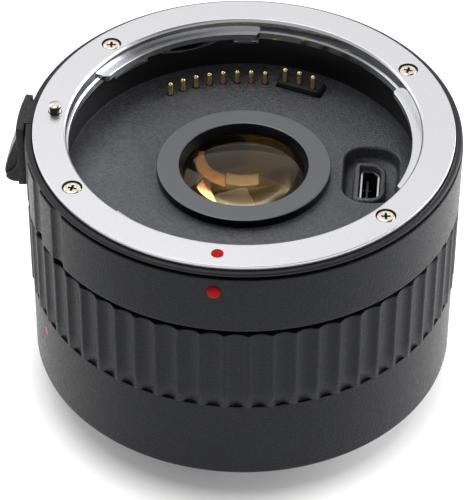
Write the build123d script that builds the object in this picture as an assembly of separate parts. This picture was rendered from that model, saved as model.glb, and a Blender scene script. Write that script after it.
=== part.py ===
from build123d import *
from math import cos, degrees, radians, sin, sqrt
import os

# Two-times teleconverter for a bayonet lens mount.
# Millimetres. Height 0 is the face of the camera-side flange, +Z is the optical axis towards
# the lens, and azimuths are degrees from +X. The index marks face -Y.

os.makedirs("parts", exist_ok=True)

# Overall
flange_distance = 42.2
barrel_r = 33.5
barrel_low = 0.75
fit_gap = 0.05
slide_gap = 0.1
overrun = 1.0

# Front mount ring, its lugs and its screws
ring_width = 5.25
throat_edge = 0.3
ring_step = 1.25
ring_t = 1.7
ring_edge = 0.2
skirt_wall = 0.95
skirt_depth = 3.4
lug_reach = 1.25
lug_drop = 1.8
lug_t = 1.05
lug_corner = 0.8
lugs = ((115.7, 62.0), (248.0, 50.0), (-0.7, 54.6))
seat_step = 0.4
seat_t = 1.1
seat_margins = (0.3, 5.7)
leaf_room = 32.0
leaf_azimuth = -5.7
leaf_sweep = 30.0
leaf_t = 0.2
leaf_width = 0.9
leaf_inset = 0.3
leaf_bow = 1.1
mount_screw_inset = 2.83
front_screw_azimuths = (-149.9, -44.6, 29.5, 135.7)
screw_hole_r = 1.1
screw_head_r = 1.38
screw_head_t = 0.75
screw_recess_r = 1.55
screw_recess_depth = 0.82
screw_shank_r = 0.85
screw_length = 5.6
screw_cross_length = 1.7
screw_cross_width = 0.36
screw_cross_depth = 0.45
thread_play = 0.05
mark_r = 0.9
mark_t = 0.2
mark_inset = 2.65
index_azimuth = -97.2

# Chassis
shell_wall = 1.35
core_gap = 0.1
wide_wall = 2.2
foot_wall = 5.5
foot_height = 5.2
rim_step = 0.15
rim_gap = 0.15
rim_drop = 0.6
rim_t = 0.5
rim_round = 0.2
rim_wall = 0.4
rabbet_t = 1.2
ledge_t = 1.4
web_drop = 10.9
web_t = 2.0
web_window_sweep = 25.0
web_window_width = 6.0
web_window_azimuths = (-125.0, -5.0, 75.0, 155.0)
post_r = 1.6
post_reach = 6.0
post_azimuths = (35.0, 115.0, -65.0)

# Upper shell
shell_gap = 0.45
shell_low_drop = 11.6
shell_round = 0.15
shell_groove_depth = 0.5
shell_groove_sweep = 5.2
shell_groove_azimuths = (214.0, 202.0, 190.0, 154.0, 142.0, 130.0)
bead_r = 1.05
bead_drop = 4.05
bead_depth = 0.7
bead_proud = 0.5
bead_crown_share = 0.55

# Main barrel
band_step = 0.25
barrel_top_drop = 12.6
flute_low_drop = 27.3
flute_count = 60
flute_crest_azimuth = 1.5
flute_depth = 0.5
flute_land_share = 0.13
barrel_bore_gap = 0.05
barrel_edge = 0.3
line_width = 1.2
line_length = 2.0
line_t = 0.15
line_low_drop = 32.1
line_azimuth = -157.3

# Front baffle: the cup below the mount ring
cup_step = 0.35
floor_drop = 8.9
floor_t = 1.2
floor_hole_gap = 0.1
usb_azimuth = -4.4
usb_inset = 7.45
pocket_length = 13.2
pocket_width = 8.5
pocket_shift = 1.0
pocket_out = 0.15
pocket_round = 3.6
pocket_depth = 2.6
pocket_wall = 1.0
pocket_edge = 0.35
pocket_reach_share = 0.65
bezel_length = 9.3
bezel_width = 4.85
bezel_height = 1.95
bezel_round = 0.7
usb_open_length = 7.6
usb_open_width = 3.2
usb_corner = 1.05
usb_round = 0.35
usb_shell_gap = 0.12
usb_shell_t = 0.3
usb_shell_drop = 1.55
usb_shell_height = 5.05
usb_base_t = 1.2
usb_tongue_length = 4.6
usb_tongue_t = 0.6
usb_tongue_shift = 0.35
usb_tongue_height = 3.1
usb_board_t = 1.0
usb_board_length = 13.0
usb_board_width = 9.0
usb_post_r = 1.0

# Spring contacts, eight low ones and three on a raised block
pin_inset = 4.45
pin_r = 0.47
pin_play = 0.06
low_pin_azimuth = 81.5
low_pin_azimuth_step = 5.73
low_pin_count = 8
high_pin_azimuth = 60.95
high_pin_azimuth_step = 6.1
high_pin_count = 3
pin_height = 2.3
high_pin_rise = 1.2
collar_r = 0.75
collar_t = 0.45
collar_play = 0.07
collar_gap = 0.03
shoulder_drop = 0.8
pin_travel = 1.0
carrier_height = 3.7
carrier_in_width = 1.65
carrier_out_width = 2.35
carrier_azimuths = (55.0, 127.5)
raised_azimuth = 66.8
raised_in_width = 0.85
raised_out_width = 2.15
raised_length = 7.6
raised_height = 1.15
raised_edge = 0.3
contact_wire_r = 0.08
contact_coil_r = 0.5
contact_coil_turns = 6
circuit_t = 0.2
circuit_margin = 0.4
circuit_tail_azimuth = 48.0
circuit_tail_sweep = 9.0

# Optics
tube_r = 13.6
tube_neck_r = 12.9
tube_neck_height = 7.0
tube_flange_r = 16.5
tube_flange_t = 1.5
tube_low = 3.0
front_bore_r = 10.45
rear_bore_r = 11.5
stop_z = 13.0
stop_t = 0.8
stop_r = 9.6
lens_play = 0.05
boss_r = 13.45
boss_open_r = 10.0
boss_height = 1.5
boss_edge = 0.15
boss_throat_r = 9.45
glass_1_edge_drop = 9.4
glass_1_edge = 1.6
glass_1_front_curve = 40.0
glass_1_rear_curve = 30.0
glass_2_edge = 4.0
glass_2_rear_curve = 60.0
front_spacer_length = 3.2
glass_3_edge = 4.2
glass_3_front_curve = 28.0
glass_3_rear_curve = 45.0
spacer_wall = 1.1
glass_4_drop = 0.45
glass_4_edge = 2.25
glass_4_front_curve = 50.0
glass_4_rear_curve = 35.0
glass_5_edge = 4.1
glass_5_rear_curve = 80.0
rear_ring_t = 1.6
rear_ring_drop = 0.2
rear_ring_wall = 1.3

# Circuit board
board_t = 1.0
board_drop = 2.6
board_in_r = 14.4
board_gap = 0.6
chip_reach = 8.4
chip_azimuths = (0.0, 60.0, 130.0, 180.0, -130.0, -60.0)
chip_sizes = ((7.0, 7.0, 1.2), (5.0, 4.0, 1.0), (6.0, 6.0, 1.1), (4.0, 5.0, 0.9), (9.0, 6.0, 1.3),
              (3.2, 2.5, 1.0))

# Rear mount and rear baffle
rear_mount_step = 0.4
rear_mount_t = 2.0
rear_mount_edge = 0.3
collar_wall = 0.75
bayonet_gap = 1.5
bayonet_height = 4.6
rear_lug_reach = 1.35
rear_relief_gap = 0.2
rear_relief_depth = 0.3
rear_lug_low = 3.5
rear_lug_t = 1.5
rear_lug_azimuth = 115.7
rear_lug_sweep = 52.0
rear_lug_count = 3
rear_screw_azimuths = (20.0, 110.0, 200.0, 290.0)
rear_screw_inset = 2.8
catch_hole_r = 1.1
catch_hole_depth = 1.6
rear_baffle_low = 6.2
rear_baffle_t = 1.0
rear_baffle_wall = 0.6
rear_baffle_corner = 0.7
rear_cup_inset = 5.75
rear_cup_depth = 4.2
rear_hole_r = 12.6
rear_flange_t = 0.8
rear_block_in_width = 2.25
rear_block_out_width = 1.35
rear_block_flange = 0.2
rear_block_t = 2.0
pad_r = 0.85
pad_t = 0.3
pad_depth = 0.05
rear_flex_t = 0.2
rear_flex_azimuth = 91.0
rear_flex_sweep = 14.0

# Lens release: lever, carrier plate, lock pin and its spring
release_azimuth = 173.4
release_travel = 2.2
lock_inset = 2.2
lock_pin_r = 0.97
lock_pin_play = 0.09
lock_pin_proud = 1.35
lock_pin_edge = 0.2
lock_stem_r = 0.55
lock_stem_length = 3.6
plate_half = 2.7
plate_gap = 0.05
plate_height = 5.4
window_low = 29.5
shell_slot_bridge = 1.1
tab_height = 5.6
tab_ring_gap = 0.2
lever_in_gap = 0.15
lever_half = 4.4
lever_stem_t = 1.25
lever_low_drop = 11.6
lever_round = 0.35
lever_hook_half = 3.5
lever_hook_shares = ((0.0, 0.23), (0.235, 0.35), (0.65, 0.58), (0.93, 0.77), (1.0, 0.83),
                     (0.92, 0.895), (0.6, 0.975), (0.0, 1.0))
lever_hook_reach = 2.13
lever_foot_share = 0.78
lock_wire_r = 0.16
lock_coil_r = 1.1
lock_coil_turns = 6
lock_coil_shift = 0.9

# Radii that follow, from the barrel inwards
chassis_r = barrel_r - shell_wall - fit_gap
band_r = barrel_r - band_step
rim_r = barrel_r - rim_step
ring_r = barrel_r - ring_step
throat_r = ring_r - ring_width
skirt_r = throat_r + skirt_wall
core_r = skirt_r + core_gap
ledge_r = throat_r
cup_r = throat_r + cup_step
wide_r = chassis_r - wide_wall
foot_bore_r = chassis_r - foot_wall
mount_screw_circle_r = ring_r - mount_screw_inset
mark_circle_r = ring_r - mark_inset
lock_circle_r = throat_r + lock_inset
lock_coil_circle_r = lock_circle_r + lock_coil_shift
plate_in_r = core_r + slide_gap
plate_out_r = chassis_r - slide_gap
pin_circle_r = throat_r - pin_inset
carrier_in_r = pin_circle_r - carrier_in_width
carrier_out_r = pin_circle_r + carrier_out_width
raised_in_r = pin_circle_r - raised_in_width
raised_out_r = pin_circle_r + raised_out_width
circuit_tail_r = carrier_out_r + circuit_t
usb_circle_r = throat_r - usb_inset
post_circle_r = tube_r + post_reach
board_out_r = wide_r - board_gap
chip_circle_r = tube_r + chip_reach
rear_mount_r = chassis_r - rear_mount_step
bayonet_r = throat_r - bayonet_gap
collar_in_r = bayonet_r - collar_wall
rear_lug_r = bayonet_r + rear_lug_reach
rear_screw_circle_r = rear_mount_r - rear_screw_inset
rear_cup_r = collar_in_r - rear_cup_inset
rear_block_in_r = pin_circle_r - rear_block_in_width
rear_block_out_r = pin_circle_r + rear_block_out_width

# Heights that follow
top = flange_distance
ring_low = top - ring_t
lug_low = top - lug_drop - lug_t
floor_z = top - floor_drop
ledge_top = floor_z - floor_t
ledge_low = ledge_top - ledge_t
rim_top = top - rim_drop
rim_low = rim_top - rim_t
rim_seat_r = ring_r + rim_gap
rabbet_r = rim_seat_r + rim_wall
rabbet_low = rim_low - rabbet_t
shell_top = rim_low - shell_gap
shell_low = top - shell_low_drop
barrel_top = top - barrel_top_drop
web_top = floor_z - web_drop
web_low = web_top - web_t
board_top = web_low - board_drop
board_low = board_top - board_t
foot_top = rear_mount_t + foot_height
carrier_low = ledge_top - carrier_height
shoulder_z = ledge_top - shoulder_drop
rear_lug_azimuths = [rear_lug_azimuth + i * 360 / rear_lug_count for i in range(rear_lug_count)]
low_pins = [(low_pin_azimuth + i * low_pin_azimuth_step, 0) for i in range(low_pin_count)]
high_pins = [(high_pin_azimuth + i * high_pin_azimuth_step, high_pin_rise) for i in range(high_pin_count)]
contact_pins = high_pins + low_pins


def save(shape, node):
    """One node's solids, as one STEP file."""
    export_step(shape, "parts/" + node + ".step")


def turned(outline):
    """A solid of revolution about the optical axis, from (radius, height) corners."""
    return revolve(make_face(Polyline([(r, 0, z) for r, z in outline], close=True)), Axis.Z)


def tube(outer_r, inner_r, low, high):
    """A plain tube about the optical axis."""
    return Pos(0, 0, low) * extrude(Circle(outer_r) - Circle(inner_r), high - low)


def rod(radius, low, high):
    """A plain cylinder about the optical axis."""
    return Pos(0, 0, low) * extrude(Circle(radius), high - low)


def at(radius, azimuth, height=0):
    """The place at a radius and azimuth, with its X axis pointing outwards."""
    return Rot(0, 0, azimuth) * Pos(radius, 0, height)


def on_circle(radius, azimuth):
    """The point of a circle about the optical axis, in the plane."""
    return (radius * cos(radians(azimuth)), radius * sin(radians(azimuth)))


def sector(inner_r, outer_r, middle, sweep, low, high):
    """A piece of a tube, sweep degrees wide, about its middle azimuth."""
    start, end = middle - sweep / 2, middle + sweep / 2
    outline = [
        ThreePointArc(on_circle(outer_r, start), on_circle(outer_r, middle), on_circle(outer_r, end)),
        Line(on_circle(outer_r, end), on_circle(inner_r, end)),
        ThreePointArc(on_circle(inner_r, end), on_circle(inner_r, middle), on_circle(inner_r, start)),
        Line(on_circle(inner_r, start), on_circle(outer_r, start)),
    ]
    return Pos(0, 0, low) * extrude(make_face(outline), high - low)


def block(x_low, x_high, half_width, low, high):
    """A box between two radii, centred on azimuth 0."""
    size = (x_high - x_low, 2 * half_width, high - low)
    return Pos((x_low + x_high) / 2, 0, (low + high) / 2) * Box(*size)


def biarc(start, start_dir, end, end_dir):
    """Two tangent arcs from start to end, in the two given directions."""
    chord = end - start
    both = start_dir + end_dir
    twist = 2 * (1 - start_dir.dot(end_dir))
    reach = (sqrt(chord.dot(both) ** 2 + twist * chord.dot(chord)) - chord.dot(both)) / twist
    near, far = start + start_dir * reach, end - end_dir * reach
    joint = (near + far) / 2
    return [TangentArc(start, joint, tangent=start_dir), TangentArc(joint, end, tangent=far - near)]


def coil(coil_r, wire_r, length, turns):
    """A compression spring standing on height 0, as one unbroken wire of quarter-turn biarcs."""
    quarters = 4 * turns
    rise = (length - 2 * wire_r) / quarters
    slope = rise / (coil_r * radians(90))
    points, directions = [], []
    for i in range(quarters + 1):
        turn = radians(90 * i)
        points.append(Vector(coil_r * cos(turn), coil_r * sin(turn), wire_r + rise * i))
        directions.append(Vector(-sin(turn), cos(turn), slope).normalized())
    arcs = []
    for i in range(quarters):
        arcs += biarc(points[i], directions[i], points[i + 1], directions[i + 1])
    start = Plane(origin=points[0], z_dir=directions[0])
    return sweep(start * Circle(wire_r), path=Wire(arcs))


def cross_screw(length):
    """A countersunk cross-head screw hanging from height 0, the top of its head."""
    head = Pos(0, 0, -screw_head_t) * extrude(Circle(screw_head_r), screw_head_t)
    head = fillet(head.edges().group_by(Axis.Z)[-1], screw_cross_width / 2)
    shank = Pos(0, 0, -length) * extrude(Circle(screw_shank_r), length - screw_head_t)
    screw = head + shank
    for turn in (45, 135):
        slot = Box(screw_cross_length, screw_cross_width, 2 * screw_cross_depth)
        screw -= Rot(0, 0, turn) * slot
    return screw


def screw_holes(radius, azimuths, low, high, hole_r):
    """Round holes on a circle."""
    return [at(radius, azimuth) * rod(hole_r, low, high) for azimuth in azimuths]


# Front mount ring: turned plate, short skirt and three inward lugs

def front_mount_ring():
    edge_r = ring_r - ring_edge
    plate = turned([
        (throat_r, ring_low), (ring_r, ring_low), (ring_r, top - ring_edge), (edge_r, top),
        (throat_r + throat_edge, top), (throat_r, top - throat_edge)])
    ring = plate + tube(skirt_r, throat_r, top - skirt_depth, ring_low)
    lug_r = throat_r - lug_reach
    for azimuth, lug_sweep in lugs:
        lug = sector(lug_r, skirt_r, azimuth, lug_sweep, lug_low, top - lug_drop)
        uprights = lug.edges().filter_by(Axis.Z)
        inner = [e for e in uprights if e.center().X ** 2 + e.center().Y ** 2 < throat_r ** 2]
        ring += fillet(inner, lug_corner)
        for start, end in seat_spans(lug_sweep):
            ring += sector(lug_r + seat_step, throat_r + seat_step / 2, azimuth + (start + end) / 2,
                           end - start, lug_low - seat_t, lug_low + seat_step)
    above = top + overrun
    for azimuth in front_screw_azimuths:
        place = at(mount_screw_circle_r, azimuth)
        ring -= place * rod(screw_hole_r, ring_low - overrun, above)
        ring -= place * rod(screw_recess_r, top - screw_recess_depth, above)
    ring -= at(lock_circle_r, release_azimuth) * rod(lock_pin_r + lock_pin_play, ring_low - overrun, above)
    ring -= at(mark_circle_r, index_azimuth) * rod(mark_r + fit_gap, top - mark_t, above)
    return ring


def seat_spans(lug_sweep):
    """Where the two spring seats below a lug start and end, from its middle azimuth."""
    half = lug_sweep / 2
    return ((seat_margins[0] - half, leaf_azimuth - leaf_room / 2),
            (leaf_azimuth + leaf_room / 2, half - seat_margins[1]))


def front_mount_screws():
    head_top = top - screw_recess_depth + screw_head_t
    return [at(mount_screw_circle_r, a, head_top) * cross_screw(screw_length) for a in front_screw_azimuths]


def lens_index_mark():
    return at(mark_circle_r, index_azimuth) * rod(mark_r, top - mark_t, top - fit_gap)


def bayonet_leaf_springs():
    """Bowed strips below the lugs, drawn in side view, cut round, and set between the blocks."""
    inner_r = throat_r - lug_reach + leaf_inset
    outer_r = inner_r + leaf_width
    half = inner_r * sin(radians(leaf_sweep / 2))
    flat = half / 4
    rise = lug_low - fit_gap
    upper = Polyline((-half, rise), (-half + flat, rise))
    upper += ThreePointArc((-half + flat, rise), (0, rise - leaf_bow), (half - flat, rise))
    upper += Line((half - flat, rise), (half, rise))
    lower = Polyline((half, rise - leaf_t), (half - flat, rise - leaf_t))
    lower += ThreePointArc((half - flat, rise - leaf_t), (0, rise - leaf_bow - leaf_t),
                           (-half + flat, rise - leaf_t))
    lower += Line((-half + flat, rise - leaf_t), (-half, rise - leaf_t))
    ends = [Line((half, rise), (half, rise - leaf_t)), Line((-half, rise - leaf_t), (-half, rise))]
    face = make_face([*upper.edges(), ends[0], *lower.edges(), ends[1]])
    strip = extrude(Plane.YZ * face, outer_r + overrun)
    strip = strip & tube(outer_r, inner_r, ledge_top, top)
    return [Rot(0, 0, azimuth + leaf_azimuth) * strip for azimuth, lug_sweep in lugs]


# Chassis: the tube that carries both mounts, the barrel and the optics

def chassis():
    web_bore_r = tube_r + fit_gap
    body = turned([
        (foot_bore_r, rear_mount_t), (chassis_r, rear_mount_t), (chassis_r, rabbet_low),
        (rabbet_r, rabbet_low), (rabbet_r, rim_low), (rim_r, rim_low), (rim_r, rim_top),
        (rim_seat_r, rim_top), (rim_seat_r, ring_low), (core_r, ring_low),
        (core_r, ledge_top), (ledge_r, ledge_top), (ledge_r, ledge_low), (wide_r, ledge_low),
        (wide_r, web_top), (web_bore_r, web_top), (web_bore_r, web_low), (wide_r, web_low),
        (wide_r, foot_top), (foot_bore_r, foot_top)])
    rim_edges = [e for e in body.edges().filter_by(GeomType.CIRCLE) if abs(e.radius - rim_r) < fit_gap]
    body = fillet(rim_edges, rim_round)
    for azimuth in web_window_azimuths:
        inner_r = tube_flange_r + overrun
        body -= sector(inner_r, inner_r + web_window_width, azimuth, web_window_sweep,
                       web_low - overrun, web_top + overrun)
    tail_window = sector(circuit_tail_r - overrun, circuit_tail_r + overrun, circuit_tail_azimuth,
                         circuit_tail_sweep + degrees(overrun / circuit_tail_r) * 2,
                         web_low - overrun, web_top + overrun)
    body -= tail_window
    for azimuth in post_azimuths:
        body += at(post_circle_r, azimuth) * rod(post_r, board_top, web_low)
    thread_r = screw_shank_r + thread_play
    deep = top - screw_length - overrun
    for hole in screw_holes(mount_screw_circle_r, front_screw_azimuths, deep, ring_low + overrun, thread_r):
        body -= hole
    high = screw_length + overrun / 2
    for hole in screw_holes(rear_screw_circle_r, rear_screw_azimuths, 0, high, thread_r):
        body -= hole
    half = plate_half + plate_gap
    slot = block((core_r + ledge_r) / 2, rim_r + overrun, half, window_low, top + overrun)
    return body - Rot(0, 0, release_azimuth) * slot


# Upper shell: smooth over the front and right, ribbed round the left and back

def upper_shell():
    shell = tube(barrel_r, chassis_r + fit_gap, shell_low, shell_top)
    shell -= rod(rabbet_r + fit_gap, rabbet_low, shell_top + overrun)
    outer = [e for e in shell.edges().filter_by(GeomType.CIRCLE) if e.radius > barrel_r - fit_gap]
    shell = fillet(outer, shell_round)
    for azimuth in shell_groove_azimuths:
        half = barrel_r * sin(radians(shell_groove_sweep / 2))
        groove_r = (half ** 2 + shell_groove_depth ** 2) / (2 * shell_groove_depth)
        centre_r = barrel_r - shell_groove_depth + groove_r
        shell -= at(centre_r, azimuth) * rod(groove_r, shell_low - overrun, shell_top + overrun)
    slot_low = top - rim_drop - tab_height - release_travel - plate_gap
    slot = block(chassis_r - overrun, barrel_r + overrun, plate_half + slide_gap, slot_low, top)
    shell -= Rot(0, 0, release_azimuth) * slot
    return shell - bead_place() * rod(bead_r + fit_gap, -bead_depth, bead_r)


def bead_place():
    """On the shell's surface above the index, with Z pointing outwards."""
    return at(barrel_r, index_azimuth, top - bead_drop) * Rot(0, 90, 0)


def index_bead():
    bead_crown_r = bead_r * bead_crown_share
    outline = [Line((0, -bead_depth), (bead_r, -bead_depth)), Line((bead_r, -bead_depth), (bead_r, 0)),
               Bezier((bead_r, 0), (bead_r, bead_proud), (bead_crown_r, bead_proud), (0, bead_proud)),
               Line((0, bead_proud), (0, -bead_depth))]
    return bead_place() * revolve(Plane.XZ * make_face(outline), Axis.Z)


# Main barrel: fluted grip above a smooth band

def fluted_outline():
    """The barrel's outside: a shallow hollow between narrow lands, all the way round."""
    pitch = 360 / flute_count
    land = pitch * flute_land_share / 2
    hollow_r = barrel_r - flute_depth
    edges = []
    for i in range(flute_count):
        crest = flute_crest_azimuth + i * pitch
        first, last = crest + land, crest + pitch - land
        edges.append(ThreePointArc(on_circle(barrel_r, crest - land), on_circle(barrel_r, crest),
                                   on_circle(barrel_r, first)))
        edges.append(ThreePointArc(on_circle(barrel_r, first), on_circle(hollow_r, crest + pitch / 2),
                                   on_circle(barrel_r, last)))
    return make_face(edges)


def main_barrel():
    bore_r = chassis_r + barrel_bore_gap
    flute_low = top - flute_low_drop
    grip = Pos(0, 0, flute_low) * extrude(fluted_outline(), barrel_top - flute_low)
    band = turned([(0, barrel_low), (band_r - barrel_edge, barrel_low), (band_r, barrel_low + barrel_edge),
                   (band_r, flute_low), (0, flute_low)])
    barrel = grip + band - rod(bore_r, barrel_low - overrun, top)
    return barrel - line_inlay(band_r + overrun, line_t + fit_gap, fit_gap)


def line_inlay(outer_r, depth, margin):
    """The painted line's solid, grown by a margin where it is the groove for the paint."""
    middle = top - line_low_drop + line_length / 2
    long_half = line_length / 2 + margin
    shape = block(band_r - depth, outer_r, line_width / 2 + margin, middle - long_half, middle + long_half)
    return Rot(0, 0, line_azimuth) * shape


def camera_index_line():
    return line_inlay(band_r + overrun, line_t, 0) & tube(band_r, band_r - overrun, barrel_low, barrel_top)


# Front baffle: the cup, its floor, the socket's pocket and the raised bezel

def socket_outline(length, width, corner, rounding):
    """A rectangle with the two outer corners cut, as round the data socket."""
    x, y = width / 2, length / 2
    outline = Polyline([(-x, -y), (x - corner, -y), (x, corner - y), (x, y - corner), (x - corner, y),
                        (-x, y)], close=True)
    return fillet(make_face(outline).vertices(), rounding)


def socket_solid(length, width, rounding, low, high):
    """The socket's outline as a solid at its place in the floor."""
    face = socket_outline(length, width, usb_corner, rounding)
    return at(usb_circle_r, usb_azimuth, low) * extrude(face, high - low)


def pocket_solid(margin, low, high):
    face = RectangleRounded(pocket_width + 2 * margin, pocket_length + 2 * margin, pocket_round + margin)
    place = Rot(0, 0, usb_azimuth) * Pos(usb_circle_r + pocket_out, pocket_shift, low)
    return place * extrude(face, high - low)


def raised_block(margin, low, high):
    """The raised part of the contact carrier, or its window in the floor with a margin."""
    face = Rectangle(raised_out_r - raised_in_r + 2 * margin, raised_length + 2 * margin)
    face = chamfer(face.vertices(), raised_edge * 2)
    return at((raised_in_r + raised_out_r) / 2, raised_azimuth, low) * extrude(face, high - low)


def usb_board_top():
    return floor_z - usb_shell_drop - usb_shell_height


def usb_post_places():
    """Two posts below the pocket, one each side of the socket."""
    offset = (bezel_length + usb_board_length) / 4
    return [Rot(0, 0, usb_azimuth) * Pos(usb_circle_r, side * offset, 0) for side in (-1, 1)]


def front_baffle():
    outer_r = core_r - fit_gap
    hole_r = tube_neck_r + floor_hole_gap
    cup_top = top - skirt_depth - fit_gap
    cup = turned([(hole_r, ledge_top), (outer_r, ledge_top), (outer_r, cup_top), (cup_r, cup_top),
                  (cup_r, floor_z), (hole_r, floor_z)])
    pocket_floor = floor_z - pocket_depth
    cup += pocket_solid(pocket_wall, pocket_floor - pocket_wall, ledge_top)
    cup -= pocket_solid(0, pocket_floor, floor_z + overrun)
    pocket_rim = [e for e in cup.edges() if abs(e.center().Z - floor_z) < fit_gap and on_pocket(e)]
    cup = fillet(pocket_rim, pocket_edge)
    cup += socket_solid(bezel_length, bezel_width, bezel_round, pocket_floor, pocket_floor + bezel_height)
    cup -= socket_solid(usb_open_length, usb_open_width, usb_round, pocket_floor - pocket_wall - overrun,
                        floor_z)
    for place in usb_post_places():
        cup += place * rod(usb_post_r, usb_board_top(), pocket_floor - pocket_wall)
    cup -= raised_block(slide_gap, ledge_top - overrun, floor_z + overrun)
    for azimuth, rise in low_pins:
        cup -= at(pin_circle_r, azimuth) * rod(pin_r + 2 * pin_play, ledge_top - overrun, floor_z + overrun)
    return cup


def on_pocket(edge):
    """Whether an edge at the floor belongs to the socket's pocket."""
    middle = edge.center()
    box_x, box_y = on_circle(usb_circle_r, usb_azimuth)
    away = sqrt((middle.X - box_x) ** 2 + (middle.Y - box_y) ** 2)
    return away < pocket_length * pocket_reach_share


def usb_shell():
    gap = usb_shell_gap
    length, width = usb_open_length - 2 * gap, usb_open_width - 2 * gap
    high = floor_z - usb_shell_drop
    wall = 2 * usb_shell_t
    outside = socket_solid(length, width, usb_round, usb_board_top(), high)
    low = usb_board_top() - overrun
    return outside - socket_solid(length - wall, width - wall, usb_round / 2, low, high + overrun)


def usb_insert():
    gap = usb_shell_gap + usb_shell_t
    length, width = usb_open_length - 2 * gap, usb_open_width - 2 * gap
    low = usb_board_top()
    base = socket_solid(length, width, usb_round / 2, low, low + usb_base_t)
    tongue = Box(usb_tongue_t, usb_tongue_length, usb_tongue_height)
    place = at(usb_circle_r - usb_tongue_shift, usb_azimuth, low + usb_base_t + usb_tongue_height / 2)
    return base + place * tongue


def usb_circuit_board():
    face = RectangleRounded(usb_board_width, usb_board_length, usb_board_t)
    return at(usb_circle_r, usb_azimuth, usb_board_top() - usb_board_t) * extrude(face, usb_board_t)


# Spring contacts

def contact_carrier():
    middle, span = sum(carrier_azimuths) / 2, carrier_azimuths[1] - carrier_azimuths[0]
    carrier = sector(carrier_in_r, carrier_out_r, middle, span, carrier_low, ledge_top)
    raised = raised_block(0, ledge_top - overrun, floor_z + raised_height)
    raised = chamfer(raised.edges().group_by(Axis.Z)[-1], raised_edge)
    carrier += raised
    for azimuth, rise in contact_pins:
        place = at(pin_circle_r, azimuth)
        carrier -= place * rod(pin_r + pin_play, carrier_low, top)
        carrier -= place * rod(collar_r + collar_play, carrier_low - overrun, shoulder_z)
    return carrier


def contact_pin(rise):
    """A domed pin with the collar that its spring pushes up against the carrier's shoulder."""
    tip = floor_z + pin_height + rise
    collar_top = shoulder_z - collar_gap
    collar_low = collar_top - collar_t
    stem = Polyline((0, collar_low), (collar_r, collar_low), (collar_r, collar_top), (pin_r, collar_top),
                    (pin_r, tip - pin_r))
    outline = [*stem.edges(), RadiusArc((pin_r, tip - pin_r), (0, tip), -pin_r),
               Line((0, tip), (0, collar_low))]
    return revolve(Plane.XZ * make_face(outline), Axis.Z)


def contact_spring():
    length = shoulder_z - collar_gap - collar_t - carrier_low - 2 * collar_gap
    spring = coil(contact_coil_r, contact_wire_r, length, contact_coil_turns)
    return Pos(0, 0, carrier_low + collar_gap) * spring


def contact_circuit():
    """The springs' flexible circuit below the carrier, with its tail down to the main board."""
    start, end = circuit_tail_azimuth - circuit_tail_sweep / 2, carrier_azimuths[1]
    inner_r, outer_r = carrier_in_r + circuit_margin, circuit_tail_r
    arc = sector(inner_r, outer_r, (start + end) / 2, end - start, carrier_low - circuit_t, carrier_low)
    tail = sector(outer_r - circuit_t, outer_r, circuit_tail_azimuth, circuit_tail_sweep,
                  board_top + fit_gap, carrier_low)
    return arc + tail


# Optics: five elements in one tube

def lens_tube():
    neck_low = floor_z - fit_gap - tube_neck_height
    high = floor_z - fit_gap
    return turned([
        (rear_bore_r, tube_low), (tube_r, tube_low), (tube_r, web_top), (tube_flange_r, web_top),
        (tube_flange_r, web_top + tube_flange_t), (tube_r, web_top + tube_flange_t), (tube_r, neck_low),
        (tube_neck_r, neck_low), (tube_neck_r, high), (front_bore_r, high), (front_bore_r, stop_z + stop_t),
        (stop_r, stop_z + stop_t), (stop_r, stop_z), (rear_bore_r, stop_z)])


def sag(curve, radius):
    """How far a sphere of that curve falls back at a radius from its crown."""
    return curve - sqrt(curve ** 2 - radius ** 2)


def front_retaining_ring():
    """The flat ring round the front glass, with the skirt that screws into the tube."""
    skirt_out_r = front_bore_r - lens_play
    crown = top - glass_1_edge_drop + sag(glass_1_front_curve, skirt_out_r)
    high = floor_z + boss_height
    outline = [(boss_throat_r, crown - sag(glass_1_front_curve, boss_throat_r) + lens_play),
               (skirt_out_r, crown - sag(glass_1_front_curve, skirt_out_r) + lens_play),
               (skirt_out_r, floor_z + fit_gap), (boss_r, floor_z + fit_gap), (boss_r, high - boss_edge),
               (boss_r - boss_edge, high), (boss_open_r + boss_edge, high), (boss_open_r, high - boss_edge)]
    return turned(outline)


def glass(radius, edge_high, edge_low, front_curve, rear_curve):
    """A lens element. A positive curve bulges towards the lens side, a negative one is hollow."""
    front = edge_high + sag(abs(front_curve), radius) * front_curve / abs(front_curve)
    rear = edge_low + sag(abs(rear_curve), radius) * rear_curve / abs(rear_curve)
    outline = [RadiusArc((0, front), (radius, edge_high), front_curve, short_sagitta=True),
               Line((radius, edge_high), (radius, edge_low)),
               RadiusArc((radius, edge_low), (0, rear), -rear_curve, short_sagitta=True),
               Line((0, rear), (0, front))]
    return revolve(Plane.XZ * make_face(outline), Axis.Z)


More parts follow.
